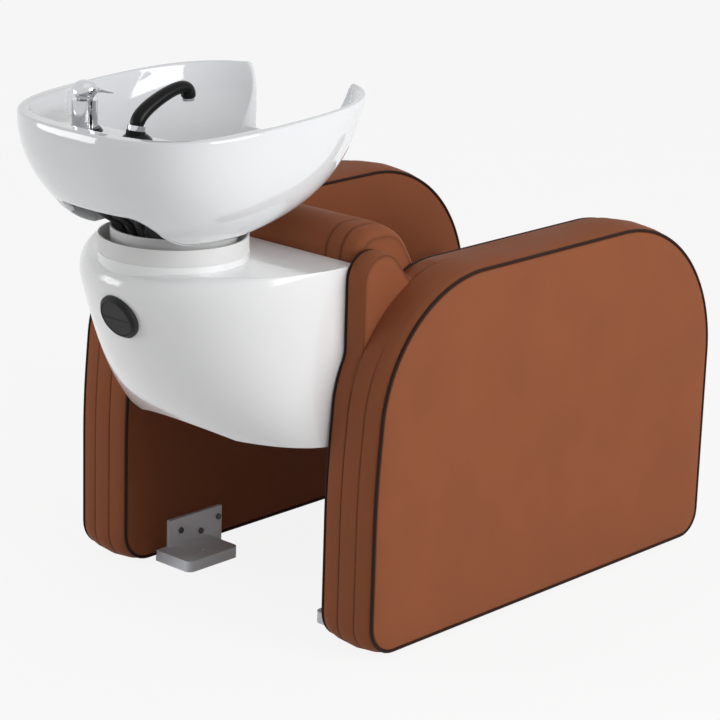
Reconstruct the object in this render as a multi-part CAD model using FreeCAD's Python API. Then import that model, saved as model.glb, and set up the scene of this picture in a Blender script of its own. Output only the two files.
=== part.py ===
import FreeCAD, Part
import math
import os

V = FreeCAD.Vector

# Arm panels
panel_length = 880.0
panel_height = 610.0
panel_lift = 10.0
panel_thickness = 115.0
seat_gap = 469.4
front_bottom_radius = 45.0
front_top_radius = 265.0
back_bottom_radius = 55.0
back_top_radius = 238.0
back_bend_drop = 330.0
back_bend_radius = 1500.0
back_lean = 29.0
inner_pad_thickness = 38.3
pad_crown = 6.0
crown_reach = 70.0
crown_share = 0.7
seam_depth = 1.5
core_thickness = 36.0
core_inset = 20.0
soft_clearance = 0.3
piping_radius = 3.3
piping_rebate = 5.0
piping_slack = 0.1

# Wings beside the headrest
wing_inset = 36.0
wing_rise = 37.0
wing_depth = 66.0
wing_foot_drop = 128.0
wing_front_foot = 114.0
wing_run_out = 48.5
wing_front_drop = 20.9
wing_tongue_thickness = 12.0
wing_bend_drop = 171.5
wing_bend_radius = 190.0
wing_foot_radius = 40.0
wing_back_radius = 44.0
wing_front_radius = 40.0
wing_toe_radius = 20.0
wing_run_radius = 166.0

# Seat
seat_top = 455.0
seat_thickness = 115.0
seat_setback = 38.0
seat_back_gap = 2.0
seat_front_radius = 46.0
seat_crown = 12.0
seat_back_radius = 22.0
cushion_edge_radius = 14.0
end_draw_power = 12
board_thickness = 18.0
cleat_size = 30.0
board_margin = 30.0

# Backrest with its roll
backrest_inset = 61.3
roll_rise = 66.0
roll_depth = 110.0
roll_radius = 44.0
roll_front_radius = 75.0
roll_neck_radius = 30.0
backrest_fall = 70.0
backrest_lean_run = 168.0
backrest_bottom = 415.0
backrest_heel_run = 75.0
backrest_heel_drop = 40.0
backrest_end_draw = 14.0

# Steel between the panels
bar_size = 40.0
bar_wall = 2.5
end_plate = 6.0
end_plate_height = 90.0
end_plate_width = 56.0
front_bar_setback = 110.0
front_bar_height = 238.0
rear_bar_height = 405.0
rear_bar_gap = 10.0
bolt_radius = 4.0
bolt_head_radius = 6.5
bolt_head_height = 5.3
bolt_spacing = 64.0
bolt_clearance = 0.2
bolt_bite = 14.0

# Pedestal shell and collar
pedestal_top = 645.0
pedestal_bottom = 342.0
shell_wall = 4.0
shell_axis_inset = 32.3
shell_bottom_depth = 124.0
shell_slope = 0.65
shell_belly = 4.0
shell_shoulder_depth = 297.0
shell_shoulder_radius = 50.0
shell_side_gap = 0.4
collar_setback = 115.3
collar_radius = 120.0
collar_wall = 3.0
collar_height = 27.7
boss_height = 10.0
boss_lip = 1.0
shell_hole_radius = 112.0
shell_screw_radius = 2.0
shell_screw_head = 4.5
shell_screw_head_height = 2.5
shell_screw_inset = 9.0
shell_screw_rise = 50.0
shell_screw_drop = 60.0
shell_screw_bite = 12.0

# Tilt hinge and basin support
hinge_ahead = 69.6
hinge_rise = 17.0
pin_radius = 5.0
pin_clearance = 0.03
pin_head_radius = 8.0
ear_gap = 60.0
ear_thickness = 8.0
ear_width = 24.0
ear_lift = 10.0
knuckle_relief = 2.0
side_clearance = 0.4
column_width = 50.0
column_depth = 24.0
column_wall = 3.0
arm_height = 40.0
bracket_plate = 6.0
bracket_width = 96.0
bracket_depth = 40.0
leaf_thickness = 6.0
leaf_width = 92.0
leaf_length = 72.0
leaf_bolt_radius = 3.0
leaf_bolt_head = 5.0
leaf_bolt_head_height = 4.0
leaf_bolt_side = 34.0
leaf_bolt_rows = (36.0, 54.0)
leaf_bolt_bite = 8.4

# Basin
basin_lift = 37.0
foot_radius = 121.0
foot_setback = 12.4
rim_setback = -34.6
rim_half_width = 229.0
rim_front = 266.0
rim_rear = 253.0
rim_slope = 0.055
rim_square = 3.0
rim_wall = 10.0
rim_round = 4.0
side_bulge = 4.05
rear_bulge = 1.75
front_bulge = 3.09
basin_wall = 12.0
bowl_setback = 35.4
bowl_floor = 728.0
floor_half_width = 75.0
floor_front = 70.0
floor_rear = 60.0
rear_draft = 5.0
bowl_side_power = 2.6
bowl_front_power = 2.6
deck_height = 849.0
rim_rise = 32.0
deck_wall = 7.8
deck_rear = 155.0
deck_half_width = 196.0
notch_half_width = 98.0
notch_corner_radius = 40.0
notch_depth = 79.0
notch_fall = 0.35
notch_flare = 0.05
arch_half_width = 104.0
arch_top = 736.0
arch_corner_radius = 28.0
arch_start = 20.0
ring_radius = 101.0
ring_wall = 3.0
ring_height = 35.0
ring_seat = 3.0

# Waste and trap
waste_setback = 35.4
waste_bore = 26.0
flange_radius = 36.0
flange_thickness = 4.0
flange_throat = 2.0
grid_thickness = 2.2
grid_sink = 0.3
grid_holes = 6
grid_hole_radius = 4.5
grid_circle = 13.0
tail_radius = 20.0
tail_length = 56.0
waste_wall = 2.5
trap_side = 38.0
trap_setback = 51.0
trap_radius = 20.0
trap_height = 112.0
trap_nut_lip = 2.5
trap_nut_rise = 8.0
trap_nut_height = 18.0
trap_link_radius = 13.0
outlet_radius = 16.0
outlet_length = 40.0

# Mixer
mixer_side = 46.0
mixer_setback = 147.4
mixer_radius = 20.0
mixer_ring_radius = 28.5
mixer_ring_height = 6.0
mixer_ring_taper = 4.0
mixer_column = 43.0
shank_radius = 14.0
shank_length = 36.0
shank_clearance = 1.0
nut_radius = 24.0
nut_height = 8.0
holder_nut_radius = 16.0
stem_radius = 8.0
stem_length = 22.0
running_clearance = 0.05
ball_radius = 15.5
ball_sink = 5.5
cap_radius = 20.0
cap_clearance = 0.4
cap_slant = 20.0
pivot_radius = 2.5
pivot_sink = 1.0
lever_reach = 57.5
lever_sections = [(0.26, 13.0, 9.0, 5.0), (0.6, 9.0, 4.5, 0.5), (1.0, 4.5, 1.8, -7.0)]

# Hand shower
shower_side = -52.0
shower_setback = 130.4
holder_radius = 25.0
holder_height = 13.0
holder_neck_radius = 15.0
holder_bore = 10.0
holder_floor = 3.0
holder_shank_radius = 11.7
shower_seat_rise = 18.0
shower_lean = 10.0
shower_collar_radius = 14.0
shower_collar_length = 8.0
handle_radius = 10.5
handle_bend = 14.0
handle_bend_radius = 20.0
sweep_reach = 48.9
sweep_rise = 43.0
sweep_radius = 120.0
crest_reach = 106.9
crest_rise = 54.0
crest_radius = 15.0
head_reach = 108.9
head_rise = 33.0
rose_radius = 10.0
rose_thickness = 4.0

# Hoses
supply_radius = 6.0
shower_hose_radius = 5.0
hose_nut_radius = 10.0
hose_nut_length = 18.0

# Rocker control
control_height = 555.0
control_radius = 38.5
control_bevel = 6.0
control_face = 31.0
rocker_gap = 0.8
rocker_thickness = 5.0
rocker_lift = 3.4
rocker_groove = 1.2
rocker_groove_depth = 0.7
ridge_length = 40.0
ridge_width = 6.0
switch_radius = 22.0
switch_depth = 26.0
switch_proud = 0.5
bezel_step = 3.0

# Feet and glides
foot_setback_rear = 100.0
foot_flange_length = 127.0
foot_flange_height = 69.0
foot_flange_thickness = 8.0
foot_shift = 26.0
foot_length = 121.0
foot_reach = 85.0
foot_thickness = 20.0
foot_under = 92.0
flange_edge_radius = 1.5
sole_corner_radius = 12.0
anchor_inset = 57.8
anchor_radius = 5.0
foot_screw_radius = 5.5
foot_screw_head = 2.5
foot_screw_shank = 2.3
foot_screw_bite = 10.0
foot_screw_marks = [(101.0, 46.0), (9.0, 49.0), (52.0, 33.0)]
glide_radius = 20.0
glide_setback = 70.0

# How far a cut runs past the faces that it opens
overcut = 10.0

# Places worked out from the driving sizes
basin_reach = collar_setback + rim_setback + rim_rear
total_depth = panel_length + basin_reach
front_y = -total_depth / 2
back_y = front_y + panel_length
panel_top = panel_lift + panel_height
piping_proud = 2 * piping_radius - piping_rebate
inner_x = seat_gap / 2
joint_x = inner_x + inner_pad_thickness
outer_x = inner_x + panel_thickness
edge_x = outer_x - pad_crown
pad_bottom = panel_lift + piping_proud
filling_half_width = inner_x - piping_proud - shell_side_gap
collar_y = back_y + collar_setback
backrest_back = back_y - backrest_inset
base_z = pedestal_top + basin_lift
hinge_y = collar_y - hinge_ahead
hinge_z = pedestal_top + hinge_rise
underside_z = bowl_floor - basin_wall
rim_height = deck_height + rim_rise
shank_low = deck_height - shank_length
back_bend_height = panel_top - back_bend_drop
roll_top = panel_top + roll_rise


# Outlines, slabs and tubes

def path_edges(corners, closed):
    """Straight runs joined by tangent arcs through corners, each a point and a radius."""
    count = len(corners)
    inner = range(count) if closed else range(1, count - 1)
    ends = {}
    arcs = {}
    for i in inner:
        before, (point, radius), after = corners[i - 1][0], corners[i], corners[(i + 1) % count][0]
        d1 = (point - before).normalize()
        d2 = (after - point).normalize()
        half = d1.getAngle(d2) / 2
        start = point - d1 * (radius * math.tan(half))
        end = point + d2 * (radius * math.tan(half))
        centre = point + (d2 - d1).normalize() * (radius / math.cos(half))
        middle = centre + (point - centre).normalize() * radius
        ends[i] = (start, end)
        arcs[i] = Part.Arc(start, middle, end).toShape()
    if not closed:
        ends[0] = (corners[0][0], corners[0][0])
        ends[count - 1] = (corners[-1][0], corners[-1][0])
    edges = []
    for i in range(count if closed else count - 1):
        following = (i + 1) % count
        edges.append(Part.LineSegment(ends[i][1], ends[following][0]).toShape())
        if following in arcs:
            edges.append(arcs[following])
    return edges


def inset_corners(corners, inset):
    """The same anticlockwise outline drawn in on every side."""
    drawn = []
    for i, (y, z, radius) in enumerate(corners):
        before, after = corners[i - 1], corners[(i + 1) % len(corners)]
        d1 = V(y - before[0], z - before[1], 0).normalize()
        d2 = V(after[0] - y, after[1] - z, 0).normalize()
        n1 = V(-d1.y, d1.x, 0)
        n2 = V(-d2.y, d2.x, 0)
        shift = (n1 + n2) * (inset / (1 + n1.dot(n2)))
        turns_left = d1.x * d2.y - d1.y * d2.x > 0
        new_radius = radius - inset if turns_left else radius + inset
        drawn.append((y + shift.x, z + shift.y, max(new_radius, piping_radius)))
    return drawn


def side_wire(corners, x):
    """A closed outline of Y and Z corners, at one X."""
    return Part.Wire(path_edges([(V(x, y, z), radius) for y, z, radius in corners], True))


def slab(corners, x0, x1):
    return Part.Face(side_wire(corners, x0)).extrude(V(x1 - x0, 0, 0))


def box(x, y, z):
    """A block from its (low, high) pairs."""
    size = [high - low for low, high in (x, y, z)]
    return Part.makeBox(*size, V(x[0], y[0], z[0]))


def round_bar(radius, start, end):
    return Part.makeCylinder(radius, (end - start).Length, start, end - start)


def tube(radius, edges):
    """A round rod along a path of tangent edges."""
    path = Part.Wire(edges)
    start = edges[0].Vertexes[0].Point
    circle = Part.Circle(start, edges[0].tangentAt(edges[0].FirstParameter), radius)
    return path.makePipeShell([Part.Wire(circle.toShape())], True, False)


def mirrored(shape):
    return shape.mirror(V(0, 0, 0), V(1, 0, 0))


def save(node, *shapes):
    whole = shapes[0] if len(shapes) == 1 else Part.makeCompound(shapes)
    whole.exportStep(f"parts/{node}.step")


def save_pair(node, shape):
    save(f"left_{node}", shape)
    save(f"right_{node}", mirrored(shape))


os.makedirs("parts", exist_ok=True)


# Bolts that hold the crossbars' end plates to the panels

front_bar_y = front_y + front_bar_setback
rear_bar_y = backrest_back - rear_bar_gap - bar_size / 2
bar_places = [(front_bar_y, front_bar_height), (rear_bar_y, rear_bar_height)]
core_x = joint_x - core_thickness / 2


def frame_bolt_places():
    for y, z in bar_places:
        for side in (-1, 1):
            yield y, z + side * bolt_spacing / 2


def bolt_bores(radius):
    tip = core_x + bolt_bite
    return [round_bar(radius, V(inner_x - end_plate, y, z), V(tip, y, z)) for y, z in frame_bolt_places()]


# Screws that hold the pedestal shell's sides to the inner pads

shell_axis_y = back_y - shell_axis_inset
shell_front = backrest_back + soft_clearance
shell_top = pedestal_top - boss_height
shoulder_z = shell_top - shell_shoulder_radius
screw_y = shell_front + shell_screw_inset
screw_places = [(screw_y, pedestal_bottom + shell_screw_rise), (screw_y, shoulder_z - shell_screw_drop)]
screw_head_x = filling_half_width - shell_wall


def shell_screws(radius):
    tip = inner_x + shell_screw_bite
    return [round_bar(radius, V(screw_head_x, y, z), V(tip, y, z)) for y, z in screw_places]


# Screws that hold the feet's flanges to the panels

flange_y = (back_y - foot_setback_rear - foot_flange_length, back_y - foot_setback_rear)
flange_x = (inner_x - foot_flange_thickness, inner_x)
foot_screw_places = [(flange_y[0] + along, height) for along, height in foot_screw_marks]


def foot_screw_bores(radius):
    tip = core_x + foot_screw_bite
    return [round_bar(radius, V(flange_x[0], y, z), V(tip, y, z)) for y, z in foot_screw_places]


# Arm panels: two pads round a plywood core, with piping in a rebate along each edge

panel_outline = [
    (front_y, panel_lift, front_bottom_radius),
    (back_y, panel_lift, back_bottom_radius),
    (back_y, back_bend_height, back_bend_radius),
    (back_y - back_lean, panel_top, back_top_radius),
    (front_y, panel_top, front_top_radius),
]

wing_bend_z = panel_top - wing_bend_drop
wing_bend_y = back_y - back_lean * (wing_bend_z - back_bend_height) / (panel_top - back_bend_height)
wing_back = back_y - wing_inset
wing_outline = panel_outline[:3] + [
    (wing_bend_y, wing_bend_z, wing_bend_radius),
    (wing_back, panel_top - wing_foot_drop, wing_foot_radius),
    (wing_back, panel_top + wing_rise, wing_back_radius),
    (wing_back - wing_depth, panel_top + wing_rise, wing_front_radius),
    (wing_back - wing_front_foot, panel_top - wing_front_drop, wing_toe_radius),
    (wing_back - wing_front_foot - wing_run_out, panel_top, wing_run_radius),
    panel_outline[4],
]

pad_outline = inset_corners(panel_outline, piping_proud)
pad_wing_outline = inset_corners(wing_outline, piping_proud)
core_outline = inset_corners(panel_outline, core_inset)
core_wing_outline = inset_corners(wing_outline, core_inset)


def core_solid(grow):
    """The plywood core with its wing tongue, or its pocket when grown by a clearance."""
    outline = inset_corners(core_outline, -grow)
    tongue = inset_corners(core_wing_outline, -grow)
    board = slab(outline, core_x - grow, core_x + core_thickness + grow)
    fin = slab(tongue, core_x - grow, core_x + wing_tongue_thickness + grow)
    return board.fuse(fin).removeSplitter()


def piping(outline, x):
    rod_line = inset_corners(outline, piping_radius)
    corners = [(V(x, y, z), radius) for y, z, radius in rod_line]
    return tube(piping_radius - piping_slack, path_edges(corners, True))


def outer_pad():
    rebated = inset_corners(pad_outline, piping_rebate)
    crowned = inset_corners(rebated, crown_reach / 3)
    middle = inset_corners(rebated, crown_reach)
    slab_end = edge_x - piping_rebate
    seam_x = (joint_x + edge_x) / 2
    seam_outline = inset_corners(pad_outline, seam_depth)
    pad = slab(pad_outline, joint_x, slab_end).fuse(slab(rebated, slab_end, edge_x))
    crown = [
        side_wire(rebated, edge_x),
        side_wire(crowned, edge_x + crown_share * pad_crown),
        side_wire(middle, outer_x),
    ]
    pad = pad.fuse(Part.makeLoft(crown, True, False)).removeSplitter()
    seam = slab(pad_outline, seam_x - seam_depth / 2, seam_x + seam_depth / 2)
    seam = seam.cut(slab(seam_outline, seam_x - seam_depth, seam_x + seam_depth))
    return pad.cut(seam).cut(core_solid(soft_clearance))


def inner_pad():
    rebated = inset_corners(pad_wing_outline, piping_rebate)
    slab_start = inner_x + piping_rebate
    pad = slab(pad_wing_outline, slab_start, joint_x)
    pad = pad.fuse(slab(rebated, inner_x, slab_start)).removeSplitter()
    bores = bolt_bores(bolt_radius + bolt_clearance)
    bores += shell_screws(shell_screw_radius + bolt_clearance)
    bores += foot_screw_bores(foot_screw_shank + bolt_clearance)
    return pad.cut(core_solid(soft_clearance)).cut(Part.makeCompound(bores))


def panel_core():
    bores = bolt_bores(bolt_radius + bolt_clearance) + foot_screw_bores(foot_screw_shank + bolt_clearance)
    return core_solid(0).cut(Part.makeCompound(bores))


save_pair("outer_pad", outer_pad())
save_pair("inner_pad", inner_pad())
save_pair("panel_core", panel_core())
save_pair("outer_piping", piping(panel_outline, edge_x + piping_proud - piping_radius))
save_pair("inner_piping", piping(wing_outline, inner_x - piping_proud + piping_radius))


# Seat: a crowned cushion on its board, on cleats fixed to the panels

roll_front = backrest_back - roll_depth
backrest_front = roll_front - backrest_lean_run
seat_front = front_y + seat_setback
seat_back = backrest_front - seat_crown - seat_back_gap
seat_bottom = seat_top - seat_thickness


def crowned_prism(corners, half_width, draw, rise):
    """A cushion across the seat, drawn in at its ends and fullest in the middle."""
    shares = [-1, -0.97, -0.92, -0.8, -0.45, 0, 0.45, 0.8, 0.92, 0.97, 1]
    wires = []
    for share in shares:
        inset = draw * share ** end_draw_power - rise * (1 - share ** 2)
        wires.append(side_wire(inset_corners(corners, inset), share * half_width))
    return Part.makeLoft(wires, True, False)


seat_outline = [
    (seat_front, seat_bottom, cushion_edge_radius),
    (seat_back, seat_bottom, cushion_edge_radius),
    (seat_back, seat_top - seat_crown, seat_back_radius),
    (seat_front, seat_top - seat_crown, seat_front_radius),
]
seat_floor = box((-inner_x, inner_x), (front_y, back_y), (0, seat_bottom))
seat = crowned_prism(seat_outline, filling_half_width, seat_crown, seat_crown).cut(seat_floor)
save("seat_cushion", seat)

board_z = seat_bottom - board_thickness
seat_board_y = (seat_front + board_margin, seat_back - board_margin)
save("seat_board", box((-filling_half_width, filling_half_width), seat_board_y, (board_z, seat_bottom)))
cleat_x = (inner_x - cleat_size, inner_x)
seat_cleat = box(cleat_x, seat_board_y, (board_z - cleat_size, board_z))
save("seat_cleats", seat_cleat, mirrored(seat_cleat))


# Backrest: a leaning cushion with a rolled top, on its board and cleats

heel_y = backrest_front + backrest_heel_run
heel_z = backrest_bottom - backrest_heel_drop
backrest_outline = [
    (heel_y, heel_z, cushion_edge_radius),
    (backrest_back, roll_top - backrest_fall, roll_neck_radius),
    (backrest_back, roll_top, roll_radius),
    (roll_front, roll_top, roll_front_radius),
    (backrest_front, backrest_bottom, cushion_edge_radius),
]
save("backrest_cushion", crowned_prism(backrest_outline, filling_half_width, backrest_end_draw, 0))

back_start = V(0, heel_y, heel_z)
back_run = V(0, backrest_back, roll_top - backrest_fall) - back_start
back_along = V(back_run).normalize()
back_out = V(0, back_along.z, -back_along.y)


def behind_backrest(x, low, high, near, far):
    """A straight board or batten along the back of the backrest, from its two ends and its two faces."""
    corners = [(low, near), (high, near), (high, far), (low, far)]
    points = [back_start + back_along * a + back_out * b for a, b in corners]
    wire = Part.makePolygon([p + V(x[0], 0, 0) for p in points + points[:1]])
    return Part.Face(wire).extrude(V(x[1] - x[0], 0, 0))


back_low = board_margin
back_high = back_run.Length - 2 * board_margin
board_face = soft_clearance
board_back = board_face + board_thickness
board_x = (-filling_half_width, filling_half_width)
save("backrest_board", behind_backrest(board_x, back_low, back_high, board_face, board_back))
back_cleat = behind_backrest(cleat_x, back_low, back_high, board_back, board_back + cleat_size)
save("backrest_cleats", back_cleat, mirrored(back_cleat))


# Crossbars with end plates, bolted to the panels

def crossbar(y, z):
    half = bar_size / 2
    inside = half - bar_wall
    reach = inner_x - end_plate
    bar = box((-reach, reach), (y - half, y + half), (z - half, z + half))
    bar = bar.cut(box((-reach, reach), (y - inside, y + inside), (z - inside, z + inside)))
    plate_y = (y - end_plate_width / 2, y + end_plate_width / 2)
    plate = box((reach, inner_x), plate_y, (z - end_plate_height / 2, z + end_plate_height / 2))
    holes = Part.makeCompound(bolt_bores(bolt_radius + bolt_clearance))
    plate = plate.cut(holes)
    return bar.fuse([plate, mirrored(plate)])


save("front_crossbar", crossbar(*bar_places[0]))
save("rear_crossbar", crossbar(*bar_places[1]))

frame_bolts = []
for (y, z), shank in zip(frame_bolt_places(), bolt_bores(bolt_radius)):
    face = inner_x - end_plate
    head = round_bar(bolt_head_radius, V(face - bolt_head_height, y, z), V(face, y, z))
    bolt = shank.fuse(head).removeSplitter()
    frame_bolts += [bolt, mirrored(bolt)]
save("frame_bolts", *frame_bolts)


# Basin support: an arm and a column from the rear crossbar to the tilt hinge

column_y = (hinge_y - column_depth / 2, hinge_y + column_depth / 2)
column_top = hinge_z - ear_width / 2 - 2 * bracket_plate - ear_lift
arm_z = (rear_bar_height - arm_height / 2, rear_bar_height + arm_height / 2)


def hollow(x, y, z, wall, open_axis):
    inner = [(low + wall, high - wall) for low, high in (x, y, z)]
    inner[open_axis] = (x, y, z)[open_axis]
    return box(x, y, z).cut(box(*inner))


column_x = (-column_width / 2, column_width / 2)
arm = hollow(column_x, (rear_bar_y + bar_size / 2, column_y[1]), arm_z, column_wall, 1)
column = hollow(column_x, column_y, (arm_z[1], column_top), column_wall, 2)
bracket_x = (-bracket_width / 2, bracket_width / 2)
bracket_y = (hinge_y - bracket_depth / 2, hinge_y + bracket_depth / 2)
head_plate = box(bracket_x, bracket_y, (column_top, column_top + bracket_plate))
save("basin_support", arm.fuse([column, head_plate]))

seat_z = column_top + bracket_plate
ear_x = (ear_gap / 2, ear_gap / 2 + ear_thickness)
ear = box(ear_x, (hinge_y - ear_width / 2, hinge_y + ear_width / 2), (seat_z, hinge_z))
ear = ear.fuse(round_bar(ear_width / 2, V(ear_x[0], hinge_y, hinge_z), V(ear_x[1], hinge_y, hinge_z)))
bracket = box(bracket_x, bracket_y, (seat_z, seat_z + bracket_plate)).fuse([ear, mirrored(ear)])
pin_end = V(ear_x[1], hinge_y, hinge_z)
pin_start = V(-ear_x[1], hinge_y, hinge_z)
save("hinge_bracket", bracket.cut(round_bar(pin_radius + pin_clearance, pin_start, pin_end)).removeSplitter())

pin_head = V(pin_radius / 2, 0, 0)
pin = round_bar(pin_radius, pin_start - pin_head, pin_end)
pin = pin.fuse(round_bar(pin_head_radius, pin_end, pin_end + pin_head))
save("hinge_pin", pin)


# Pedestal shell: half ellipses that swell from the bottom rim to the rounded shoulder, with a boss on top


def shell_depth(z):
    """How far the wall stands behind the shell's axis at one height."""
    share = (pedestal_top - z) / (pedestal_top - pedestal_bottom)
    draw_in = shell_slope * share + (1 - shell_slope) * share ** shell_belly
    return shell_shoulder_depth - (shell_shoulder_depth - shell_bottom_depth) * draw_in


def shell_section(z, depth, inset, front):
    half = filling_half_width - inset
    stretch = FreeCAD.Matrix()
    stretch.scale(1.0, (depth - inset) / half, 1.0)
    arc = Part.Arc(V(half, 0, 0), V(0, half, 0), V(-half, 0, 0)).toShape().transformGeometry(stretch)
    arc.translate(V(0, shell_axis_y, z))
    corners = [V(-half, shell_axis_y, z), V(-half, front, z), V(half, front, z), V(half, shell_axis_y, z)]
    return Part.Wire(arc.Edges + Part.makePolygon(corners).Edges)


def shell_solid(inset, front, low):
    """The shell's outer form, or its hollow when inset by the wall."""
    wall_height = shoulder_z - pedestal_bottom
    steps = 10
    heights = [low] + [pedestal_bottom + wall_height * (k + 1) / steps for k in range(steps)]
    sections = [shell_section(z, shell_depth(z), inset, front) for z in heights]
    for turn in (18, 36, 54, 72, 90):
        drop = shell_shoulder_radius * (1 - math.sin(math.radians(turn)))
        pull = shell_shoulder_radius * (1 - math.cos(math.radians(turn)))
        z = shell_top - drop
        sections.append(shell_section(z - inset, shell_depth(z) - pull, inset, front))
    return Part.makeLoft(sections, True, False)


shell_outer = shell_solid(0, shell_front, pedestal_bottom)
shell_hollow = shell_solid(shell_wall, shell_front - shell_wall, pedestal_bottom)
shell_hollow = shell_hollow.fuse(shell_hollow.translated(V(0, 0, -shell_wall)))

control_top = shell_depth(control_height + control_radius)
control_slope = (control_top - shell_depth(control_height - control_radius)) / (2 * control_radius)
control_tilt = math.degrees(math.atan(control_slope))
control_normal = V(0, 1, -control_slope).normalize()
control_point = V(0, shell_axis_y + shell_depth(control_height), control_height)


def along_control(radius, near, far):
    return round_bar(radius, control_point + control_normal * near, control_point + control_normal * far)


def on_collar(radius, low, high):
    return Part.makeCylinder(radius, high - low, V(0, collar_y, low))


boss = on_collar(collar_radius + boss_lip, shoulder_z, pedestal_top)
collar_hole = on_collar(shell_hole_radius, shoulder_z, pedestal_top + overcut)
shell = shell_outer.fuse(boss).cut(shell_hollow).cut(collar_hole)
shell = shell.cut(along_control(switch_radius + soft_clearance, -switch_depth, switch_depth))
bores = shell_screws(shell_screw_radius + bolt_clearance)
shell = shell.cut(Part.makeCompound(bores + [mirrored(bore) for bore in bores]))
save("pedestal_shell", shell)

collar_top = pedestal_top + collar_height
collar = on_collar(collar_radius, pedestal_top, collar_top)
save("pedestal_collar", collar.cut(on_collar(collar_radius - collar_wall, pedestal_top, collar_top)))

pedestal_screws = []
for (y, z), shank in zip(screw_places, shell_screws(shell_screw_radius)):
    head_start = V(screw_head_x - shell_screw_head_height, y, z)
    head = round_bar(shell_screw_head, head_start, V(screw_head_x, y, z))
    screw = shank.fuse(head).removeSplitter()
    pedestal_screws += [screw, mirrored(screw)]
save("pedestal_screws", *pedestal_screws)


# Rocker control: a bevelled ring on the shell, a two-way rocker and the switch behind it

def on_control(x, out, up):
    """A block on the control's own plane: across, out along its normal and up its face."""
    block = box(x, out, up)
    block.rotate(V(0, 0, 0), V(1, 0, 0), -control_tilt)
    return block.translated(control_point)


bevel = Part.makeCone(control_radius, control_radius - control_bevel, control_bevel,
                      control_point + control_normal * bezel_step, control_normal)
bezel = along_control(control_radius, -overcut, bezel_step).fuse(bevel)
bezel = bezel.cut(along_control(control_face, -2 * overcut, 2 * overcut)).cut(shell_outer)
save("control_bezel", bezel)

ridge_x = (-ridge_length / 2, ridge_length / 2)
ridge = on_control(ridge_x, (0, rocker_lift - soft_clearance), (-ridge_width / 2, ridge_width / 2))
save("switch_body", along_control(switch_radius, -switch_depth, switch_proud).fuse(ridge).removeSplitter())

rocker_top = rocker_lift + rocker_thickness
rocker = along_control(control_face - rocker_gap, rocker_lift, rocker_top)
groove_out = (rocker_top - rocker_groove_depth, rocker_top + overcut)
groove = on_control((-control_face, control_face), groove_out, (-rocker_groove / 2, rocker_groove / 2))
save("control_rocker", rocker.cut(groove))


# Feet: brackets screwed to the panels' inner faces, and glides under the front corners

foot_y = (flange_y[1] + foot_shift - foot_length, flange_y[1] + foot_shift)
flange = box(flange_x, flange_y, (0, foot_flange_height))
flange_edges = [edge for edge in flange.Edges if abs(edge.CenterOfMass.z - foot_flange_height) < 1
                and abs(edge.Vertexes[0].Y - edge.Vertexes[1].Y) < 1]
flange = flange.makeFillet(flange_edge_radius, flange_edges)
sole = box((inner_x - foot_reach, inner_x), foot_y, (0, foot_thickness))
sole_edges = [edge for edge in sole.Edges if abs(edge.CenterOfMass.x - (inner_x - foot_reach)) < 1
              and abs(edge.Vertexes[0].Z - edge.Vertexes[1].Z) > 1]
sole = sole.makeFillet(sole_corner_radius, sole_edges)
under = box((inner_x, inner_x + foot_under), flange_y, (0, panel_lift - soft_clearance))
relief_x = (inner_x - piping_proud - soft_clearance, inner_x)
relief_top = pad_bottom + piping_rebate + piping_proud
relief = box(relief_x, (front_y, back_y), (panel_lift - soft_clearance, relief_top))
anchor_x = inner_x - anchor_inset
anchor_y = (foot_y[0] + foot_y[1]) / 2
anchor = Part.makeCylinder(anchor_radius, foot_thickness, V(anchor_x, anchor_y, 0))
left_foot = flange.fuse([sole, under]).removeSplitter().cut(relief).cut(anchor)
left_foot = left_foot.cut(Part.makeCompound(foot_screw_bores(foot_screw_shank + bolt_clearance)))

foot_screws = []
for (y, z), shank in zip(foot_screw_places, foot_screw_bores(foot_screw_shank)):
    head = round_bar(foot_screw_radius, V(flange_x[0] - foot_screw_head, y, z), V(flange_x[0], y, z))
    screw = shank.fuse(head).removeSplitter()
    foot_screws += [screw, mirrored(screw)]
save_pair("foot", left_foot)
save("foot_screws", *foot_screws)

glide_x = (inner_x + outer_x) / 2
glide = Part.makeCylinder(glide_radius, pad_bottom, V(glide_x, front_y + glide_setback, 0))
save("front_glides", glide, mirrored(glide))


# Basin: a ceramic bowl cast into its skirt, with a tap deck, a neck notch and an arch at the rear

rim_y = collar_y + rim_setback
foot_y_centre = collar_y + foot_setback
bowl_y = collar_y + bowl_setback


def rim_level(y):
    return rim_height + rim_slope * (rim_y - y)


def closed_section(centre_y, half_width, front, rear, square, level):
    """A smooth ring: a superellipse with its own depth before and behind its centre."""
    points = []
    steps = 32
    for k in range(steps):
        c = math.cos(2 * math.pi * k / steps)
        s = math.sin(2 * math.pi * k / steps)
        x = half_width * math.copysign(abs(c) ** (2 / square), c)
        y = centre_y + (rear if s > 0 else front) * math.copysign(abs(s) ** (2 / square), s)
        points.append(V(x, y, level(y)))
    curve = Part.BSplineCurve()
    curve.interpolate(points, PeriodicFlag=True)
    return Part.Wire(curve.toShape())


def swell(low, high, share, power):
    return low + (high - low) * (1 - (1 - min(share, 1.0)) ** power)


def skirt_section(share, inset):
    """The basin's outside at a share of its height, drawn in by inset."""
    return closed_section(
        foot_y_centre + (rim_y - foot_y_centre) * share,
        swell(foot_radius, rim_half_width, share, side_bulge) - inset,
        swell(foot_radius, rim_front, share, front_bulge) - inset,
        swell(foot_radius, rim_rear, share, rear_bulge) - inset,
        2 + (rim_square - 2) * share,
        lambda y: base_z + (rim_level(y) - base_z) * share)


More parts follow.
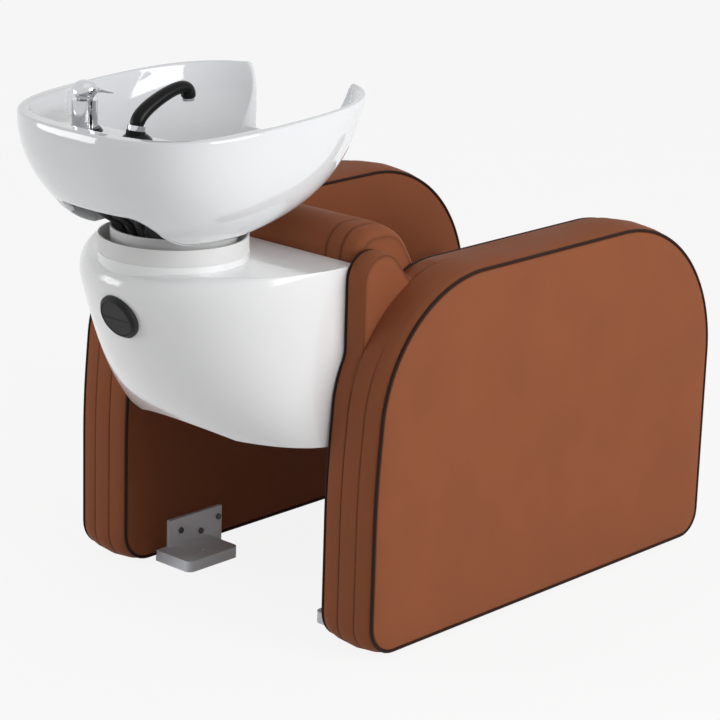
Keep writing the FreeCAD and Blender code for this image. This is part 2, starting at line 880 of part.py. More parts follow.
def bowl_section(share, grow, drop):
    """The bowl's inside at a share of its depth, grown by the wall for its outside."""
    top_front = rim_front - rim_setback + bowl_setback - rim_wall
    return closed_section(
        bowl_y,
        swell(floor_half_width, rim_half_width - rim_wall, share, bowl_side_power) + grow,
        swell(floor_front, top_front, share, bowl_front_power) + grow,
        floor_rear + rear_draft * share + grow,
        2 + (rim_square - 2) * min(share, 1.0),
        lambda y: bowl_floor - drop + (rim_level(y) - bowl_floor + drop) * share)


def deck_section(share):
    half = deck_half_width + (rim_half_width - rim_wall - deck_half_width) * share
    rear = rim_rear + rim_setback - bowl_setback - rim_wall
    return closed_section(bowl_y, half, deck_half_width, deck_rear + (rear - deck_rear) * share, rim_square,
                          lambda y: deck_height + (rim_level(y) - deck_height) * share)


skirt_shares = [0, 0.05, 0.12, 0.22, 0.36, 0.55, 0.78, 0.95]
skirt = [skirt_section(share, 0) for share in skirt_shares]
skirt += [skirt_section(0.985, 0.3 * rim_round), skirt_section(1.0, rim_round)]
ceramic = Part.makeLoft(skirt, True, False)

bowl_shares = [0, 0.06, 0.16, 0.32, 0.55, 0.8, 1.0, 1.15]
bowl = Part.makeLoft([bowl_section(share, 0, 0) for share in bowl_shares], True, False)
bowl_skin = [bowl_section(share, basin_wall, basin_wall) for share in bowl_shares]
bowl_outside = Part.makeLoft(bowl_skin, True, False)
deck = Part.makeLoft([deck_section(share) for share in (0, 0.5, 1.0, 2.0)], True, False)


deck_share = (deck_height - deck_wall - base_z) / (rim_height - base_z)
cavity_shares = [0.16, 0.25, 0.4, 0.6, deck_share]
cavity = Part.makeLoft([skirt_section(share, basin_wall) for share in cavity_shares], True, False)
cavity_floor = base_z + cavity_shares[0] * (rim_height - base_z)
well = on_collar(ring_radius, base_z, cavity_floor + 2 * ring_wall)
cavity = cavity.fuse(well).cut(bowl_outside)

arch_low = base_z - overcut


def rounded_u(low_half, foot, high_half, head, radius, run):
    """A prism with two square corners at its foot and two rounded ones at its head, along a run."""
    corners = [
        (V(-low_half, 0, foot), 0),
        (V(-high_half, 0, head), radius),
        (V(high_half, 0, head), radius),
        (V(low_half, 0, foot), 0),
    ]
    edges = path_edges(corners, False)
    edges.append(Part.LineSegment(corners[-1][0], corners[0][0]).toShape())
    return Part.Face(Part.Wire(edges)).extrude(run)


arch = rounded_u(arch_half_width, arch_low, arch_half_width, arch_top, arch_corner_radius, V(0, rim_rear, 0))
arch = arch.translated(V(0, collar_y + arch_start, 0))
arch = arch.cut(on_collar(ring_radius, 0, arch_top))

notch_bottom = rim_height - notch_depth
notch_top = rim_height + notch_depth
notch_y = bowl_y - 2 * floor_front
notch_wide = notch_half_width + notch_flare * (notch_top - notch_bottom)
notch_run = V(0, -rim_front, -notch_fall * rim_front)
notch_lift = notch_fall * (notch_y - (bowl_y - rim_front))
notch = rounded_u(notch_wide, notch_top, notch_half_width, notch_bottom, notch_corner_radius, notch_run)
notch = notch.translated(V(0, notch_y, notch_lift))

mixer_y = collar_y + mixer_setback
shower_y = collar_y + shower_setback
waste_y = collar_y + waste_setback


def upright(radius, x, y, low, high):
    return Part.makeCylinder(radius, high - low, V(x, y, low))


leaf_bolt_places = [(side * leaf_bolt_side, hinge_y + row) for side in (-1, 1) for row in leaf_bolt_rows]
leaf_bolt_tip = underside_z + leaf_bolt_bite
deck_cut = (shank_low, deck_height + overcut)
holes = [
    upright(shank_radius + shank_clearance, mixer_side, mixer_y, *deck_cut),
    upright(holder_shank_radius + soft_clearance, shower_side, shower_y, *deck_cut),
    upright(waste_bore, 0, waste_y, underside_z - overcut, bowl_floor + overcut),
    upright(flange_radius + soft_clearance, 0, waste_y, bowl_floor - flange_thickness, bowl_floor + overcut),
]
for x, y in leaf_bolt_places:
    holes.append(upright(leaf_bolt_radius + bolt_clearance, x, y, underside_z - overcut, leaf_bolt_tip))
for hollow_form in [cavity, bowl, deck, arch, notch] + holes:
    ceramic = ceramic.cut(hollow_form)
save("basin", ceramic.common(bowl_outside), ceramic.cut(bowl_outside))

ring_low = base_z + ring_seat - ring_height
ring_high = base_z + ring_seat
ring = on_collar(ring_radius, ring_low, ring_high)
save("tilt_ring", ring.cut(on_collar(ring_radius - ring_wall, ring_low, ring_high)))


# Tilt leaf: the moving half of the hinge, bolted under the bowl

knuckle_half = ear_gap / 2 - side_clearance
knuckle_radius = ear_width / 2 - knuckle_relief
leaf_top = underside_z
knuckle_y = (hinge_y - knuckle_radius, hinge_y + knuckle_radius)
leaf_low = leaf_top - leaf_thickness
leaf_y = (knuckle_y[0], knuckle_y[0] + leaf_length)
leaf = box((-leaf_width / 2, leaf_width / 2), leaf_y, (leaf_low, leaf_top))
knuckle = box((-knuckle_half, knuckle_half), knuckle_y, (hinge_z, leaf_low))
barrel = round_bar(knuckle_radius, V(-knuckle_half, hinge_y, hinge_z), V(knuckle_half, hinge_y, hinge_z))
leaf = leaf.fuse([knuckle, barrel]).removeSplitter()
leaf = leaf.cut(round_bar(pin_radius + running_clearance, pin_start, pin_end))
leaf_bolts = []
for x, y in leaf_bolt_places:
    leaf = leaf.cut(upright(leaf_bolt_radius + bolt_clearance, x, y, leaf_low, leaf_top))
    bolt = upright(leaf_bolt_radius, x, y, leaf_low, leaf_bolt_tip)
    head = upright(leaf_bolt_head, x, y, leaf_low - leaf_bolt_head_height, leaf_low)
    leaf_bolts.append(bolt.fuse(head).removeSplitter())
save("tilt_leaf", leaf)
save("leaf_bolts", *leaf_bolts)


# Waste: flange, grid, tail and trap

flange_low = bowl_floor - flange_thickness
tail_top = underside_z - flange_throat
flange_ring = upright(flange_radius, 0, waste_y, flange_low, bowl_floor)
throat = upright(waste_bore - soft_clearance, 0, waste_y, tail_top, flange_low)
flange_ring = flange_ring.fuse(throat).removeSplitter()
flange_ring = flange_ring.cut(upright(tail_radius, 0, waste_y, tail_top, bowl_floor))
grid_top = bowl_floor - grid_sink
grid_low = grid_top - grid_thickness
flange_ring = flange_ring.cut(upright(waste_bore, 0, waste_y, grid_low, bowl_floor))
save("waste_flange", flange_ring)

grid = upright(waste_bore - soft_clearance, 0, waste_y, grid_low, grid_top)
for k in range(grid_holes):
    turn = 2 * math.pi * k / grid_holes
    hole_x = grid_circle * math.cos(turn)
    hole_y = waste_y + grid_circle * math.sin(turn)
    grid = grid.cut(upright(grid_hole_radius, hole_x, hole_y, grid_low, grid_top))
save("waste_grid", grid)

tail_low = tail_top - tail_length
trap_y = collar_y + trap_setback
link_z = tail_low + trap_link_radius + waste_wall
link_start = V(0, waste_y, link_z)
link_end = V(trap_side, trap_y, link_z)
link_way = (link_end - link_start).normalize()
tail = upright(tail_radius, 0, waste_y, tail_low, tail_top)
tail = tail.cut(upright(tail_radius - waste_wall, 0, waste_y, tail_low + waste_wall, tail_top))
tail = tail.cut(round_bar(trap_link_radius, link_start, link_end))
save("waste_tail", tail)

trap_top = tail_top
trap_low = trap_top - trap_height
trap = upright(trap_radius, trap_side, trap_y, trap_low, trap_top)
trap_nut_low = trap_low + trap_nut_rise
trap_nut_top = trap_nut_low + trap_nut_height
trap = trap.fuse(upright(trap_radius + trap_nut_lip, trap_side, trap_y, trap_nut_low, trap_nut_top))
trap = trap.fuse(upright(outlet_radius, trap_side, trap_y, trap_low - outlet_length, trap_low))
pipe_start = link_start + link_way * (tail_radius - 2 * waste_wall)
trap = trap.fuse(round_bar(trap_link_radius - soft_clearance, pipe_start, link_end)).removeSplitter()
trap = trap.cut(upright(tail_radius - waste_wall + soft_clearance, 0, waste_y, tail_low, tail_top))
save("waste_trap", trap)


# Mixer: column on a base ring, clamped to the deck by a nut, with a stem and a lever cap

column_low = deck_height + mixer_ring_height
column_high = column_low + mixer_column


def on_mixer(radius, low, high):
    return upright(radius, mixer_side, mixer_y, low, high)


base_ring = Part.makeCone(mixer_ring_radius, mixer_ring_radius - mixer_ring_taper, mixer_ring_height,
                          V(mixer_side, mixer_y, deck_height))
save("mixer_base_ring", base_ring.cut(on_mixer(shank_radius + soft_clearance, deck_height, column_low)))

mixer_body = on_mixer(mixer_radius, column_low, column_high)
mixer_body = mixer_body.fuse(on_mixer(shank_radius, shank_low, column_low)).removeSplitter()
mixer_body = mixer_body.cut(on_mixer(stem_radius + running_clearance, column_high - stem_length, column_high))
save("mixer_body", mixer_body)


def deck_underside(y):
    return base_z + deck_share * (rim_level(y) - base_z)


nut_top = deck_underside(mixer_y + nut_radius)
mixer_nut = on_mixer(nut_radius, nut_top - nut_height, nut_top)
save("mixer_nut", mixer_nut.cut(on_mixer(shank_radius + soft_clearance, shank_low, deck_height)))

pivot = V(mixer_side, mixer_y, column_high + ball_radius - ball_sink)
stem_base = column_high + soft_clearance
stem = on_mixer(stem_radius, column_high - stem_length + soft_clearance, pivot.z)
ball = Part.makeSphere(ball_radius, pivot)
ball = ball.cut(on_mixer(2 * ball_radius, pivot.z - 2 * ball_radius, stem_base))
trunnion_half = V(cap_radius - pivot_sink, 0, 0)
trunnion = round_bar(pivot_radius, pivot - trunnion_half, pivot + trunnion_half)
save("mixer_stem", stem.fuse([ball, trunnion]).removeSplitter())

cap = Part.makeSphere(cap_radius, pivot)
lever_wires = []
for share, half_width, half_height, rise in lever_sections:
    ring_centre = pivot + V(0, -lever_reach * share, rise)
    oval = Part.Ellipse(ring_centre + V(half_width, 0, 0), ring_centre + V(0, 0, half_height), ring_centre)
    lever_wires.append(Part.Wire(oval.toShape()))
bill = Part.makeLoft(lever_wires, True, False)
below_x = (-2 * cap_radius, 2 * cap_radius)
below = box(below_x, below_x, (-2 * cap_radius, 0))
below.rotate(V(0, 0, 0), V(1, 0, 0), cap_slant)
cap = cap.cut(below.translated(pivot)).fuse(bill).removeSplitter()
cap = cap.cut(Part.makeSphere(ball_radius + cap_clearance, pivot))
trunnion_bore = V(2 * cap_radius, 0, 0)
cap = cap.cut(round_bar(pivot_radius + running_clearance, pivot - trunnion_bore, pivot + trunnion_bore))
save("mixer_lever", cap)


# Hand shower: it leans in its holder, turns with its collar and lifts out

lean = math.radians(shower_lean)
shower_axis = V(0, -math.sin(lean), math.cos(lean))
shower_seat = V(shower_side, shower_y, deck_height + shower_seat_rise)


def along_shower(radius, near, far):
    return round_bar(radius, shower_seat + shower_axis * near, shower_seat + shower_axis * far)


def under_shower(radius, low, high):
    return upright(radius, shower_side, shower_y, low, high)


dome_radius = (holder_radius ** 2 + holder_height ** 2) / (2 * holder_height)
dome = Part.makeSphere(dome_radius, V(shower_side, shower_y, deck_height + holder_height - dome_radius))
dome = dome.common(under_shower(holder_radius, deck_height, deck_height + holder_height))
collar_low = -shower_collar_length / 2
neck = along_shower(holder_neck_radius, -2 * holder_neck_radius, collar_low - soft_clearance)
neck = neck.common(under_shower(2 * holder_radius, deck_height, deck_height + 2 * shower_seat_rise))
holder = dome.fuse([neck, under_shower(holder_shank_radius, shank_low, deck_height)]).removeSplitter()
bore_low = deck_height + holder_floor
shank_depth = (shower_seat.z - bore_low) / math.cos(lean) - holder_bore * math.tan(lean)
holder = holder.cut(along_shower(holder_bore + running_clearance, -shank_depth, 2 * shower_seat_rise))
save("shower_holder", holder)

holder_nut_top = deck_underside(shower_y + nut_radius)
holder_nut = under_shower(holder_nut_radius, holder_nut_top - nut_height, holder_nut_top)
save("holder_nut", holder_nut.cut(under_shower(holder_shank_radius + soft_clearance, shank_low, deck_height)))

swivel = along_shower(shower_collar_radius, collar_low, -collar_low)
save("swivel_collar", swivel.cut(along_shower(holder_bore + running_clearance, collar_low, -collar_low)))

handle_start = shower_seat + shower_axis * (shower_collar_length / 2 + soft_clearance)
bend = shower_seat + shower_axis * handle_bend
sweep = shower_seat + V(0, -sweep_reach, sweep_rise)
crest = shower_seat + V(0, -crest_reach, crest_rise)
head_point = shower_seat + V(0, -head_reach, head_rise)
handle_path = [
    (handle_start, 0),
    (bend, handle_bend_radius),
    (sweep, sweep_radius),
    (crest, crest_radius),
    (head_point, 0),
]
handle = tube(handle_radius, path_edges(handle_path, False))
shank = along_shower(holder_bore, -shank_depth + soft_clearance, shower_collar_length)
save("hand_shower", handle.fuse(shank).removeSplitter())

spray_way = (head_point - crest).normalize()
save("shower_rose", round_bar(rose_radius, head_point, head_point + spray_way * rose_thickness))


# Hoses under the basin: hot and cold tails with nuts, and the shower hose that loops back to the mixer

def hose(radius, points):
    """A hose with the largest tangent arcs its runs allow; its radii are printed in hose diameters."""
    route = [V(*point) for point in points]
    corners = [(route[0], 0)]
    radii = []
    for before, point, after in zip(route, route[1:], route[2:]):
        half = (point - before).getAngle(after - point) / 2
        arc = 0.45 * min((point - before).Length, (after - point).Length) / math.tan(half)
        radii.append(round(arc / (2 * radius), 1))
        corners.append((point, arc))
    corners.append((route[-1], 0))
    edges = path_edges(corners, False)
    solid = tube(radius, edges)
    length = sum(edge.Length for edge in edges)
    share = solid.Volume / (math.pi * radius ** 2 * length)
    print("hose", round(length), "mm, arcs in diameters", radii, "volume share", round(share, 6))
    return solid


def from_shanks(points):
    """Hose points given from the collar's centre and the shanks' ends, so that they follow the basin."""
    return [(x, collar_y + y, shank_low - drop) for x, y, drop in points]


hot_route = from_shanks([
    (53, 147.4, 0), (53, 147.4, 38), (53, 138, 75), (53, 106, 103), (59, 70, 119),
    (69, 47, 151), (74, 36, 197), (70, 26, 249), (62, 16, 296), (58, 10, 335)])
cold_route = from_shanks([
    (39, 147.4, 0), (39, 147.4, 38), (38, 142, 75), (36, 119, 98), (31, 86, 116),
    (22, 77, 157), (10, 68, 201), (3, 55, 247), (4, 46, 291), (8, 40, 331)])
shower_route = from_shanks([
    (-52, 130.4, 0), (-52, 130.4, 38), (-46, 127, 73), (-30, 106, 105), (-14, 80, 133),
    (-14, 68, 173), (-32, 56, 215), (-56, 42, 253), (-76, 26, 293), (-72, 12, 331), (-42, 4, 355),
    (-6, 4, 351), (14, 12, 321), (10, 26, 279), (-3, 39, 235), (-5, 54, 191),
    (2, 64, 149), (8, 85, 115), (21, 117, 94), (41, 130, 65), (46, 136.4, 33), (46, 136.4, 0)])
save("hot_hose", hose(supply_radius, hot_route))
save("cold_hose", hose(supply_radius, cold_route))
save("shower_hose", hose(shower_hose_radius, shower_route))
hose_nuts = []
for route in (hot_route, cold_route):
    end = V(*route[-1])
    way = (end - V(*route[-2])).normalize()
    hose_nuts.append(round_bar(hose_nut_radius, end, end + way * hose_nut_length))
save("hose_nuts", *hose_nuts)
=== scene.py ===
import math

import bpy
import numpy as np
from mathutils import Matrix, Vector


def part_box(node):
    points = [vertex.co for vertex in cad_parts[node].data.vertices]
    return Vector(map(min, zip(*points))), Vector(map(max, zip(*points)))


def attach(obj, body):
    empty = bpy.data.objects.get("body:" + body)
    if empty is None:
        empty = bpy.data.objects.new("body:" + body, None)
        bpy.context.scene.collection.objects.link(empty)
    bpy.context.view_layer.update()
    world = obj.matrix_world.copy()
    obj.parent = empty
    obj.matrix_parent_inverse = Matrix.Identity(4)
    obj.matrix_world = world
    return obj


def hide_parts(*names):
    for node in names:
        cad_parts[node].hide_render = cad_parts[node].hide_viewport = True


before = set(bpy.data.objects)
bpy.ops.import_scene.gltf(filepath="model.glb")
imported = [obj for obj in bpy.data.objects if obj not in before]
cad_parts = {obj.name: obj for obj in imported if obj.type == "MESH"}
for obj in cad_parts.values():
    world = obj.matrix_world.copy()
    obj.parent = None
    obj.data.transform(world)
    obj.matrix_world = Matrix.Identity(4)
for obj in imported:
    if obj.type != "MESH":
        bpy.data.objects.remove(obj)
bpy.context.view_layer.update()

# The photograph's viewpoint: a long lens behind the unit, above its right rear corner.
# The camera is rolled by nearly two degrees, as the picture is.
camera_place = (-3.0672, 3.3172, 1.75)
azimuth, elevation, roll = (math.radians(a) for a in (222.249, 16.834, 1.784))
level = math.cos(elevation)
back = Vector((math.sin(azimuth) * level, -math.cos(azimuth) * level, math.sin(elevation)))
right = Vector((math.cos(azimuth), math.sin(azimuth), 0))
up = back.cross(right)
rolled_right = right * math.cos(roll) + up * math.sin(roll)
rolled_up = up * math.cos(roll) - right * math.sin(roll)
camera_turn = Matrix((rolled_right, rolled_up, back)).transposed().to_4x4()
camera_data = bpy.data.cameras.new("camera")
camera_data.lens = 137.62
camera_data.sensor_width = 36
camera = bpy.data.objects.new("camera", camera_data)
camera.matrix_world = Matrix.Translation(camera_place) @ camera_turn
bpy.context.scene.collection.objects.link(camera)
bpy.context.scene.camera = camera

# Studio: a plain pale floor, a white surround and three soft boxes.
# The surround shows to the lens and in reflections, and lights the unit more weakly than it looks.
surround_light = 0.34
floor_glow = 0.88


def add_node(tree, kind, inputs=(), **settings):
    """A shader node with its settings, and its sockets linked or set."""
    node = tree.nodes.new(kind)
    for key, value in settings.items():
        setattr(node, key, value)
    for socket, value in dict(inputs).items():
        if isinstance(value, bpy.types.NodeSocket):
            tree.links.new(value, node.inputs[socket])
        else:
            node.inputs[socket].default_value = value
    return node


def combine(tree, operation, first, second):
    """One value from two, by an operation of the Math node."""
    return add_node(tree, "ShaderNodeMath", {0: first, 1: second}, operation=operation).outputs[0]


bpy.context.scene.view_settings.view_transform = "Standard"
world = bpy.data.worlds.new("studio")
bpy.context.scene.world = world
world.use_nodes = True
sky = world.node_tree
sky.nodes.clear()
ray = add_node(sky, "ShaderNodeLightPath").outputs
seen = combine(sky, "MAXIMUM", ray["Is Camera Ray"], ray["Is Glossy Ray"])
seen = combine(sky, "MAXIMUM", seen, ray["Is Transmission Ray"])
glow = add_node(sky, "ShaderNodeBackground", {"Color": (1, 1, 1, 1), "Strength": surround_light}).outputs[0]
white = add_node(sky, "ShaderNodeBackground", {"Color": (1, 1, 1, 1), "Strength": 1.0}).outputs[0]
surround = add_node(sky, "ShaderNodeMixShader", {0: seen, 1: glow, 2: white}).outputs[0]
add_node(sky, "ShaderNodeOutputWorld", {"Surface": surround})


def soft_box(name, place, aim, size, power):
    """A rectangular lamp that faces its aim."""
    lamp = bpy.data.lights.new(name, "AREA")
    lamp.shape = "RECTANGLE"
    lamp.size, lamp.size_y = size
    lamp.energy = power
    box = bpy.data.objects.new(name, lamp)
    box.location = place
    box.rotation_euler = (Vector(aim) - Vector(place)).to_track_quat("-Z", "Y").to_euler()
    bpy.context.scene.collection.objects.link(box)


soft_box("side_box", (-3.2, -0.4, 1.5), (0, 0, 0.4), (2.2, 1.8), 66)
soft_box("top_box", (-0.3, 0.4, 3.0), (0, 0, 0.5), (2.4, 2.0), 3)
soft_box("rear_box", (2.7, 2.8, 1.2), (0, 0.3, 0.6), (1.6, 1.4), 32)


def own_place(tree):
    """The piece's own coordinates, so that a finish moves with its piece."""
    return add_node(tree, "ShaderNodeTexCoord").outputs["Object"]


def noise(tree, place, scale, detail):
    sockets = {"Vector": place, "Scale": scale, "Detail": detail}
    return add_node(tree, "ShaderNodeTexNoise", sockets).outputs[0]


def raised(tree, height, distance, strength, **settings):
    """The normal of a surface that a height raises."""
    sockets = {"Height": height, "Distance": distance, "Strength": strength}
    return add_node(tree, "ShaderNodeBump", sockets, **settings).outputs[0]


def blend(tree, share, low, high):
    """A tone between two others."""
    return add_node(tree, "ShaderNodeMix", {0: share, 6: low, 7: high}, data_type="RGBA").outputs[2]


def node_group(name, inputs, outputs):
    """An empty shader group with its sockets, its input node's outputs and its output node."""
    tree = bpy.data.node_groups.new(name, "ShaderNodeTree")
    for label, value in inputs.items():
        tree.interface.new_socket(label, in_out="INPUT", socket_type="NodeSocketFloat").default_value = value
    for label, kind in outputs.items():
        tree.interface.new_socket(label, in_out="OUTPUT", socket_type=kind)
    return tree, tree.nodes.new("NodeGroupInput").outputs, tree.nodes.new("NodeGroupOutput")


# Shared effect: slow clouds of tone over a surface and a fine skin, as paint, plastic and glaze have
skin_group, skin_in, skin_out = node_group(
    "fine_skin", {"Cloud Scale": 6.0, "Skin Scale": 400.0, "Skin Depth": 0.0001},
    {"Cloud": "NodeSocketFloat", "Edge": "NodeSocketFloat", "Normal": "NodeSocketVector"})
place = own_place(skin_group)
cloud = noise(skin_group, place, skin_in["Cloud Scale"], 3.0)
peel = noise(skin_group, place, skin_in["Skin Scale"], 2.0)
relief = raised(skin_group, peel, skin_in["Skin Depth"], 1.0)
sharp = add_node(skin_group, "ShaderNodeNewGeometry").outputs["Pointiness"]
edge = add_node(skin_group, "ShaderNodeMapRange",
                {"Value": sharp, "From Min": 0.5, "From Max": 0.6}).outputs[0]
for label, source in (("Cloud", cloud), ("Edge", edge), ("Normal", relief)):
    skin_group.links.new(source, skin_out.inputs[label])


def new_material(name):
    material = bpy.data.materials.new(name)
    material.use_nodes = True
    material.node_tree.nodes.clear()
    return material, material.node_tree


def surface(tree, sockets):
    """The material's shader with its sockets, joined to its output."""
    shader = add_node(tree, "ShaderNodeBsdfPrincipled", sockets)
    add_node(tree, "ShaderNodeOutputMaterial", {"Surface": shader.outputs[0]})


def coated(name, low, high, roughness, skin=(6.0, 400.0, 0.0001), edge_tone=None, gloss=()):
    """A paint, plastic or glaze: two near tones in slow clouds, a paler or darker edge and a fine skin."""
    material, tree = new_material(name)
    effect = add_node(tree, "ShaderNodeGroup", node_tree=skin_group)
    for socket, value in zip(("Cloud Scale", "Skin Scale", "Skin Depth"), skin):
        effect.inputs[socket].default_value = value
    tone = blend(tree, effect.outputs["Cloud"], low, high)
    tone = blend(tree, effect.outputs["Edge"], tone, edge_tone or high)
    rough = add_node(tree, "ShaderNodeMapRange", {
        "Value": effect.outputs["Cloud"], "From Min": 0.3, "From Max": 0.7,
        "To Min": 0.85 * roughness, "To Max": 1.15 * roughness}).outputs[0]
    sockets = {"Base Color": tone, "Roughness": rough, "Normal": effect.outputs["Normal"]}
    surface(tree, {**sockets, **dict(gloss)})
    return material


floor_mesh = bpy.data.meshes.new("floor")
floor_mesh.from_pydata([(-9, -9, 0), (9, -9, 0), (9, 9, 0), (-9, 9, 0)], [], [(0, 1, 2, 3)])
floor = bpy.data.objects.new("floor", floor_mesh)
bpy.context.scene.collection.objects.link(floor)
floor_paint = coated("floor_paint", (0.74, 0.74, 0.74, 1), (0.76, 0.76, 0.76, 1), 0.8)
paint = floor_paint.node_tree
floor_ray = add_node(paint, "ShaderNodeLightPath").outputs
in_view = combine(paint, "MAXIMUM", floor_ray["Is Camera Ray"], floor_ray["Is Glossy Ray"])
shown = combine(paint, "MULTIPLY", in_view, floor_glow)
bright = add_node(paint, "ShaderNodeEmission", {"Color": (1, 1, 1, 1), "Strength": 1.0}).outputs[0]
plain = next(node for node in paint.nodes if node.type == "BSDF_PRINCIPLED").outputs[0]
top_coat = next(node for node in paint.nodes if node.type == "OUTPUT_MATERIAL").inputs["Surface"]
paint.links.new(add_node(paint, "ShaderNodeMixShader", {0: shown, 1: plain, 2: bright}).outputs[0], top_coat)
floor.data.materials.append(floor_paint)

# Hot and cold tails: black braided hoses that hang from the mixer's shank, with a union nut on each free end.
# Shower hose: one limp loop from the holder down into the pedestal and back up to the mixer.
collar_low, collar_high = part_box("pedestal_collar")
collar_y = 500 * (collar_low.y + collar_high.y)
shank_low = 1000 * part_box("mixer_body")[0].z
hot_route = [
    (53, 147.4, 0), (53, 147.4, 38), (53, 138, 75), (53, 106, 103), (59, 70, 119),
    (69, 47, 151), (74, 36, 197), (70, 26, 249), (62, 16, 296), (58, 10, 335)]
cold_route = [
    (39, 147.4, 0), (39, 147.4, 38), (38, 142, 75), (36, 119, 98), (31, 86, 116),
    (22, 77, 157), (10, 68, 201), (3, 55, 247), (4, 46, 291), (8, 40, 331)]
shower_route = [
    (-52, 130.4, 0), (-52, 130.4, 38), (-46, 127, 73), (-30, 106, 105), (-14, 80, 133),
    (-14, 68, 173), (-32, 56, 215), (-56, 42, 253), (-76, 26, 293), (-72, 12, 331), (-42, 4, 355),
    (-6, 4, 351), (14, 12, 321), (10, 26, 279), (-3, 39, 235), (-5, 54, 191),
    (2, 64, 149), (8, 85, 115), (21, 117, 94), (41, 130, 65), (46, 136.4, 33), (46, 136.4, 0)]
nut_profile = [(0, 7.2), (0, 8.6), (1.5, 10), (16.5, 10), (18, 8.6), (18, 5.5), (10, 5.5)]
nut_flats = 6


def srgb(red, green, blue):
    """A colour from its 8-bit screen values."""
    parts = [v / 255 for v in (red, green, blue)]
    return tuple(p / 12.92 if p <= 0.04045 else ((p + 0.055) / 1.055) ** 2.4 for p in parts) + (1.0,)


def braided(name):
    """Black hose rubber with the fine crossed ribs of its braid."""
    material, tree = new_material(name)
    place = own_place(tree)
    waves = []
    for way in ("X", "DIAGONAL"):
        waves.append(add_node(tree, "ShaderNodeTexWave", {"Vector": place, "Scale": 120.0, "Distortion": 0.4},
                              bands_direction=way).outputs["Fac"])
    ribs = combine(tree, "MULTIPLY", waves[0], waves[1])
    tone = blend(tree, ribs, srgb(14, 14, 15), srgb(48, 48, 50))
    surface(tree, {"Base Color": tone, "Roughness": 0.45, "Normal": raised(tree, ribs, 0.0004, 0.8)})
    return material


def polished(name, tone, roughness):
    """Bright metal with faint brushed streaks in its gloss."""
    material, tree = new_material(name)
    sockets = {"Vector": own_place(tree), "Scale": (300, 300, 40)}
    stretched = add_node(tree, "ShaderNodeMapping", sockets).outputs[0]
    streak = noise(tree, stretched, 1.0, 4.0)
    rough = add_node(tree, "ShaderNodeMapRange", {
        "Value": streak, "To Min": 0.5 * roughness, "To Max": 1.5 * roughness}).outputs[0]
    surface(tree, {"Base Color": tone, "Metallic": 1.0, "Roughness": rough})
    return material


def mesh_piece(name, points, faces, material, body):
    """A smooth mesh from points in millimetres, riding its body."""
    mesh = bpy.data.meshes.new(name)
    mesh.from_pydata((np.asarray(points, float) / 1000).tolist(), [], faces)
    mesh.polygons.foreach_set("use_smooth", [True] * len(mesh.polygons))
    mesh.materials.append(material)
    mesh.validate()
    piece = bpy.data.objects.new(name, mesh)
    bpy.context.scene.collection.objects.link(piece)
    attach(piece, body)
    return piece


def ring_faces(rings, points, closed=False):
    """Quads between rings of points, and round from the last ring to the first when closed."""
    faces = []
    for r in range(rings if closed else rings - 1):
        for p in range(points):
            q, s = (p + 1) % points, (r + 1) % rings
            faces.append((r * points + p, r * points + q, s * points + q, s * points + p))
    return faces


def capped_faces(rings, points):
    """Quads between rings of points, with a face over the first ring and over the last."""
    first, last = range(points - 1, -1, -1), range((rings - 1) * points, rings * points)
    return ring_faces(rings, points) + [tuple(first), tuple(last)]


def soften(piece, width, angle=35):
    """A narrow rounding on the piece's sharp edges."""
    bevel = piece.modifiers.new("edges", "BEVEL")
    bevel.width = width
    bevel.segments = 3
    bevel.limit_method = "ANGLE"
    bevel.angle_limit = math.radians(angle)
    bevel.harden_normals = True
    return piece


def hose(name, route, radius, material, node):
    """A hanging hose from points given from the collar's centre and the shanks' ends, in millimetres."""
    points = [(x / 1000, (collar_y + y) / 1000, (shank_low - drop) / 1000) for x, y, drop in route]
    curve = bpy.data.curves.new(name, "CURVE")
    curve.dimensions = "3D"
    curve.bevel_depth = radius / 1000
    curve.bevel_resolution = 6
    curve.use_fill_caps = True
    spline = curve.splines.new("NURBS")
    spline.points.add(len(points) - 1)
    for point, place in zip(spline.points, points):
        point.co = (*place, 1.0)
    spline.order_u = 3
    spline.use_endpoint_u = True
    spline.resolution_u = 12
    curve.materials.append(material)
    piece = bpy.data.objects.new(name, curve)
    bpy.context.scene.collection.objects.link(piece)
    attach(piece, "basin")
    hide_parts(node)


def union_nut(name, route):
    """A hexagon nut on the end of a hose, along its last run."""
    before, end = (np.array((x, collar_y + y, shank_low - drop)) for x, y, drop in route[-2:])
    way = (end - before) / np.linalg.norm(end - before)
    side = np.cross(way, (0, 1, 0))
    side /= np.linalg.norm(side)
    other = np.cross(way, side)
    points = []
    for along, radius in nut_profile:
        for k in range(nut_flats):
            turn = 2 * math.pi * k / nut_flats
            points.append(end + way * along + (side * math.cos(turn) + other * math.sin(turn)) * radius)
    nut = mesh_piece(name, points, capped_faces(len(nut_profile), nut_flats), chrome, "basin")
    nut.data.polygons.foreach_set("use_smooth", [False] * len(nut.data.polygons))
    return soften(nut, 0.0005)


chrome = polished("chrome_plate", (0.58, 0.59, 0.61, 1), 0.07)
hose_braid = braided("hose_braid")
hot_nut = union_nut("hot_nut", hot_route)
cold_nut = union_nut("cold_nut", cold_route)
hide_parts("hose_nuts")
hose("hot_tail", hot_route, 6, hose_braid, "hot_hose")
hose("cold_tail", cold_route, 6, hose_braid, "cold_hose")
hose("shower_loop", shower_route, 5, hose_braid, "shower_hose")

# Crossbars, basin support and hinge: square steel tube and plate, welded and powder coated black.
# Zinc plated bolts through the end plates hold them to the panels.


def finish(material, slot, width, *names):
    """A CAD node's material and a narrow rounding on its edges. The slot is not used."""
    for name in names:
        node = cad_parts[name]
        node.data.materials.clear()
        node.data.materials.append(material)
        if width:
            soften(node, width)


